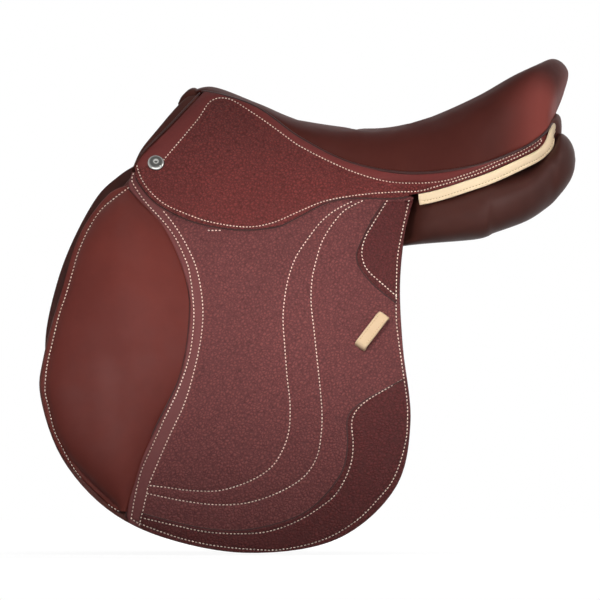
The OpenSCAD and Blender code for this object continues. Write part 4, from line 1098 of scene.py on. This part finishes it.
# Painted shadow under the lobe's edge.
dye_and_shadow_line("lobe_edge", lobe_line[4:-4] - [0, 0.5], 2.0, "skirt_{}", 1.0)
dye_and_shadow_line("rear_patch_edge", upper_line_cut - [0.6, 0], 2.7, "flap_{}", 0.9)
dye_and_shadow_line("corner_patch_edge", lower_line_cut + [-0.5, 0.4], 2.7, "flap_{}", 0.8)
# Painted shadow along the front of the S edge.
dye_and_shadow_line("panel_shadow_line", s_curve[6:] - [0.7, 0], 4.3, "flap_{}", 0.9)


# Stitching: one short thread for each stitch, laid on the face it sews

STITCH, PITCH = (2.25, 0.62), 3.9
FINE_STITCH, FINE = (2.05, 0.58), 3.5


def stitch_mesh(name, places, material, size=STITCH, hole=None):
    """places: middle, direction along the row and outward direction of each stitch; hole: step to its needle hole,
    which gets a dark disc of painted shade.
    """
    sides = 8
    a = np.linspace(0, 2 * np.pi, sides, endpoint=False)
    stations = [(-0.5, 0.35), (-0.42, 0.8), (-0.2, 1.0), (0.2, 1.0), (0.42, 0.8), (0.5, 0.35)]
    verts, faces = [], []
    for middle, along, out in places:
        side = unit(np.cross(along, out))
        base = len(verts)
        for f, w in stations:
            arch = 0.30 * (1 - (2 * f) ** 2) - 0.1
            for q in a:
                verts.append(middle + along * f * size[0] + out * (arch + w * size[1] * 0.8 * math.sin(q))
                             + side * w * size[1] * math.cos(q))
        for k in range(len(stations) - 1):
            here, there = base + k * sides, base + (k + 1) * sides
            for j in range(sides):
                i = (j + 1) % sides
                faces.append([here + j, here + i, there + i, there + j])
        faces.append([base + j for j in range(sides)])
        faces.append([base + (len(stations) - 1) * sides + j for j in reversed(range(sides))])
    threads = len(faces)
    # Dark discs at the needle holes: painted shade in the holes.
    for middle, along, out in places if hole else ():
        side = unit(np.cross(along, out))
        base = len(verts)
        verts.extend(middle + along * (hole + 0.9 * math.cos(q)) + side * 0.7 * math.sin(q) - 0.12 * out for q in a)
        verts.append(middle + along * hole + 0.1 * out)
        faces.extend([base + j, base + (j + 1) % sides, base + sides] for j in range(sides))
        faces.append([base + j for j in reversed(range(sides))])
    extra = (edge_dye_and_shade, range(threads, len(faces))) if hole else None
    return add_piece(name, np.array(verts), faces, material, 80, extra=extra)


def tree_of(*obs):
    verts, faces = [], []
    for o in obs:
        base = len(verts)
        verts.extend([v.co.copy() for v in o.data.vertices])
        faces.extend([[base + k for k in f.vertices] for f in o.data.polygons])
    return BVHTree.FromPolygons(verts, faces)


def sew(rows, target, pitch=PITCH, keep=None):
    """Places of stitches where the rows, seen from the left, meet the target."""
    places = []
    for points in rows:
        line = resample(curve(points, 12), pitch)
        for k in range(len(line)):
            a, b = line[max(k - 1, 0)], line[min(k + 1, len(line) - 1)]
            if keep is not None and not keep(line[k]):
                continue
            hit, n, _, _ = target.ray_cast(Vector((line[k][0] * MM, -0.5, line[k][1] * MM)), Vector((0, 1, 0)))
            if hit is None:
                continue
            n = np.array(n)
            n = n if n[1] < 0 else -n
            along = np.array([b[0] - a[0], 0, b[1] - a[1]])
            along = unit(along - n * (along @ n))
            places.append((np.array(hit) / MM + 0.05 * n, along, n))
    return places


def above(p):
    return p[1] > fold_height(p[0]) + 0.4


def below(p):
    return not above(p)


skirt_tree = tree_of(skirts["left"])
lobe_tree = tree_of(lobes["left"])
places = sew([skirt_upper_row, skirt_lower_row], skirt_tree, FINE, keep=above)
settle_both(stitch_mesh("skirt_thread", places, thread, FINE_STITCH, FINE / 2), "saddle", "cream_leather")
places = sew([skirt_lower_row], lobe_tree, FINE, keep=below)
settle_both(stitch_mesh("lobe_thread", places, thread, FINE_STITCH, FINE / 2), "skirt_{}", "cream_leather")
flap_tree = tree_of(flaps["left"], upper_patches["left"], lower_patches["left"])
places = sew(panel_rows + [upper_patch_row, lower_patch_row, tack_row], flap_tree)
places += sew([block_row], tree_of(blocks["left"]))
settle_both(stitch_mesh("flap_thread", places, thread, hole=PITCH / 2), "flap_{}", "cream_leather")

loop_places = []
for side in (-4.1, 4.1):
    for s in np.arange(-15.5, 15.6, 3.1):
        at = loop_base + s * loop_along + side * loop_across + (KEEPER_HEIGHT + 1.9) * loop_out
        loop_places.append((at, loop_along, loop_out))
settle_both(stitch_mesh("keeper_thread", loop_places, cream_thread, (1.9, 0.35)), "flap_{}", "cream_leather")
bt = np.linspace(5.2, SEAM_END, 800)
line = resample(band_mid(bt) - 2.4 * band_up(bt) - 0.75 * seam_inward(bt), 3.6)
way = unit(np.gradient(line, axis=0))
band_places = []
for k, p in enumerate(line):
    o = np.array([way[k][1], -way[k][0], 0])
    o = unit(o if o[1] < 0 or o[0] > 0 else -o)
    band_places.append((p, way[k], o))
settle_both(stitch_mesh("band_thread", band_places, cream_thread, (2.2, 0.38)), "saddle", "cream_leather")


# Solids that stay in sight get their materials

def dress(node, material, bevel=None):
    ob = nodes[node]
    ob.data.materials.clear()
    ob.data.materials.append(material)
    if bevel:
        b = ob.modifiers.new("rounded", "BEVEL")
        b.width = bevel * MM
        b.segments = 2
        b.limit_method = "ANGLE"
        b.angle_limit = math.radians(40)


for n in ("tree_head", "tree_rail_left", "tree_rail_right", "tree_cantle"):
    dress(n, wood)
for n in ("head_plate", "gullet_plate", "spring_left", "spring_right", "tree_rivets"):
    dress(n, steel)
for n in ("seat_web_long", "seat_web_cross", "billet_webs_left", "billet_webs_right"):
    dress(n, web)
dress("gullet_strip", dark_leather)
for side in ("left", "right"):
    dress(f"point_pocket_{side}", strap_leather)
    dress(f"billet_front_{side}", strap_leather, 0.6)
    dress(f"billet_rear_{side}", strap_leather, 0.6)
    dress(f"stirrup_bar_{side}", steel, 0.4)
    dress(f"stirrup_catch_{side}", steel, 0.3)
    dress(f"catch_pin_{side}", bright)


# Floor, light and camera

FLOOR_Z = -0.3365


def background_rays(tree):
    """1 where the camera, a mirror or glass looks at the background."""
    path = tree.nodes.new("ShaderNodeLightPath")
    share = path.outputs["Is Camera Ray"]
    for name in ("Is Glossy Ray", "Is Transmission Ray"):
        n = tree.nodes.new("ShaderNodeMath")
        n.operation = "MAXIMUM"
        tree.links.new(share, n.inputs[0])
        tree.links.new(path.outputs[name], n.inputs[1])
        share = n.outputs[0]
    return share


def flat_floor():
    """Pale floor that keeps a shadow and fades into the white background."""
    mesh = bpy.data.meshes.new("floor")
    mesh.from_pydata([(x, y, FLOOR_Z) for x, y in ((-4, -4), (4, -4), (4, 4), (-4, 4))], [], [(0, 1, 2, 3)])
    s = Shader("floor_white")
    s.set(Base_Color=(0.16, 0.16, 0.16, 1), Roughness=0.9, Specular_IOR_Level=0.0)
    away = s.add("ShaderNodeVectorMath", {0: s.where}, operation="LENGTH").outputs["Value"]
    fade = s.span(away, 0.36, 0.9, 0.93, 1.0, "SMOOTHSTEP")
    white = s.add("ShaderNodeEmission", {"Strength": s.math("MULTIPLY", background_rays(s.tree), fade)})
    both = s.add("ShaderNodeAddShader", {0: s.bsdf.outputs[0], 1: white.outputs[0]})
    s.plug(s.tree.nodes["Material Output"], {"Surface": both.outputs[0]})
    mesh.materials.append(s.material)
    ob = bpy.data.objects.new("floor", mesh)
    scene.collection.objects.link(ob)


flat_floor()

world = bpy.data.worlds.new("studio")
scene.world = world
world.use_nodes = True
tree = world.node_tree
tree.nodes.clear()
mixed = tree.nodes.new("ShaderNodeMixShader")
tree.links.new(background_rays(tree), mixed.inputs[0])
for k, strength in ((1, 0.055), (2, 1.0)):
    n = tree.nodes.new("ShaderNodeBackground")
    n.inputs["Strength"].default_value = strength
    n.inputs["Color"].default_value = (1, 1, 1, 1)
    tree.links.new(n.outputs[0], mixed.inputs[k])
tree.links.new(mixed.outputs[0], tree.nodes.new("ShaderNodeOutputWorld").inputs["Surface"])


def lamp(name, place, aim, size, watts, mirrored_too=True, spread=180):
    data = bpy.data.lights.new(name, "AREA")
    data.shape = "RECTANGLE"
    data.size, data.size_y = size
    data.energy = watts
    data.spread = math.radians(spread)
    ob = bpy.data.objects.new(name, data)
    scene.collection.objects.link(ob)
    ob.location = place
    ob.rotation_euler = (Vector(aim) - Vector(place)).to_track_quat("-Z", "Y").to_euler()
    ob.visible_glossy = mirrored_too


lamp("key", (-0.03, -0.58, -0.03), (-0.03, 0, -0.04), (0.9, 0.14), 0.98, True, 110)
lamp("rake", (-0.12, -0.62, 0.42), (0.0, -0.2, -0.1), (0.2, 0.16), 0.42, False, 62)
lamp("front", (0.2, -1.4, 0.5), (0, 0, 0.02), (0.8, 0.6), 0.8)
lamp("fill", (1.25, -0.5, 0.42), (0.25, -0.08, 0.1), (0.6, 0.6), 3.6)
lamp("rear", (0.5, -0.9, 0.4), (0.23, -0.12, 0.08), (0.2, 0.2), 0.2, True, 50)
lamp("far_side", (0.2, 1.7, 0.4), (0, 0, -0.02), (1.2, 0.8), 16, False)
lamp("top", (0.1, 0.1, 1.6), (0, 0, 0), (1.2, 1.2), 0.8, False)

# The photo's half width, 0.321 m, is true to size in the plane of the near flap
LENS, HALF_SENSOR, HALF_WIDTH, TRUE_Y, MIDDLE_Z = 1500, 18, 0.321, -0.12, -0.0642
camera_data = bpy.data.cameras.new("camera")
camera = bpy.data.objects.new("camera", camera_data)
scene.collection.objects.link(camera)
camera_data.sensor_width = 2 * HALF_SENSOR
camera_data.lens = LENS
camera_data.clip_end = 100
camera.location = (0, TRUE_Y - HALF_WIDTH * LENS / HALF_SENSOR, MIDDLE_Z)
camera.rotation_euler = (math.pi / 2, 0, 0)
scene.camera = camera
scene.view_settings.view_transform = "Standard"
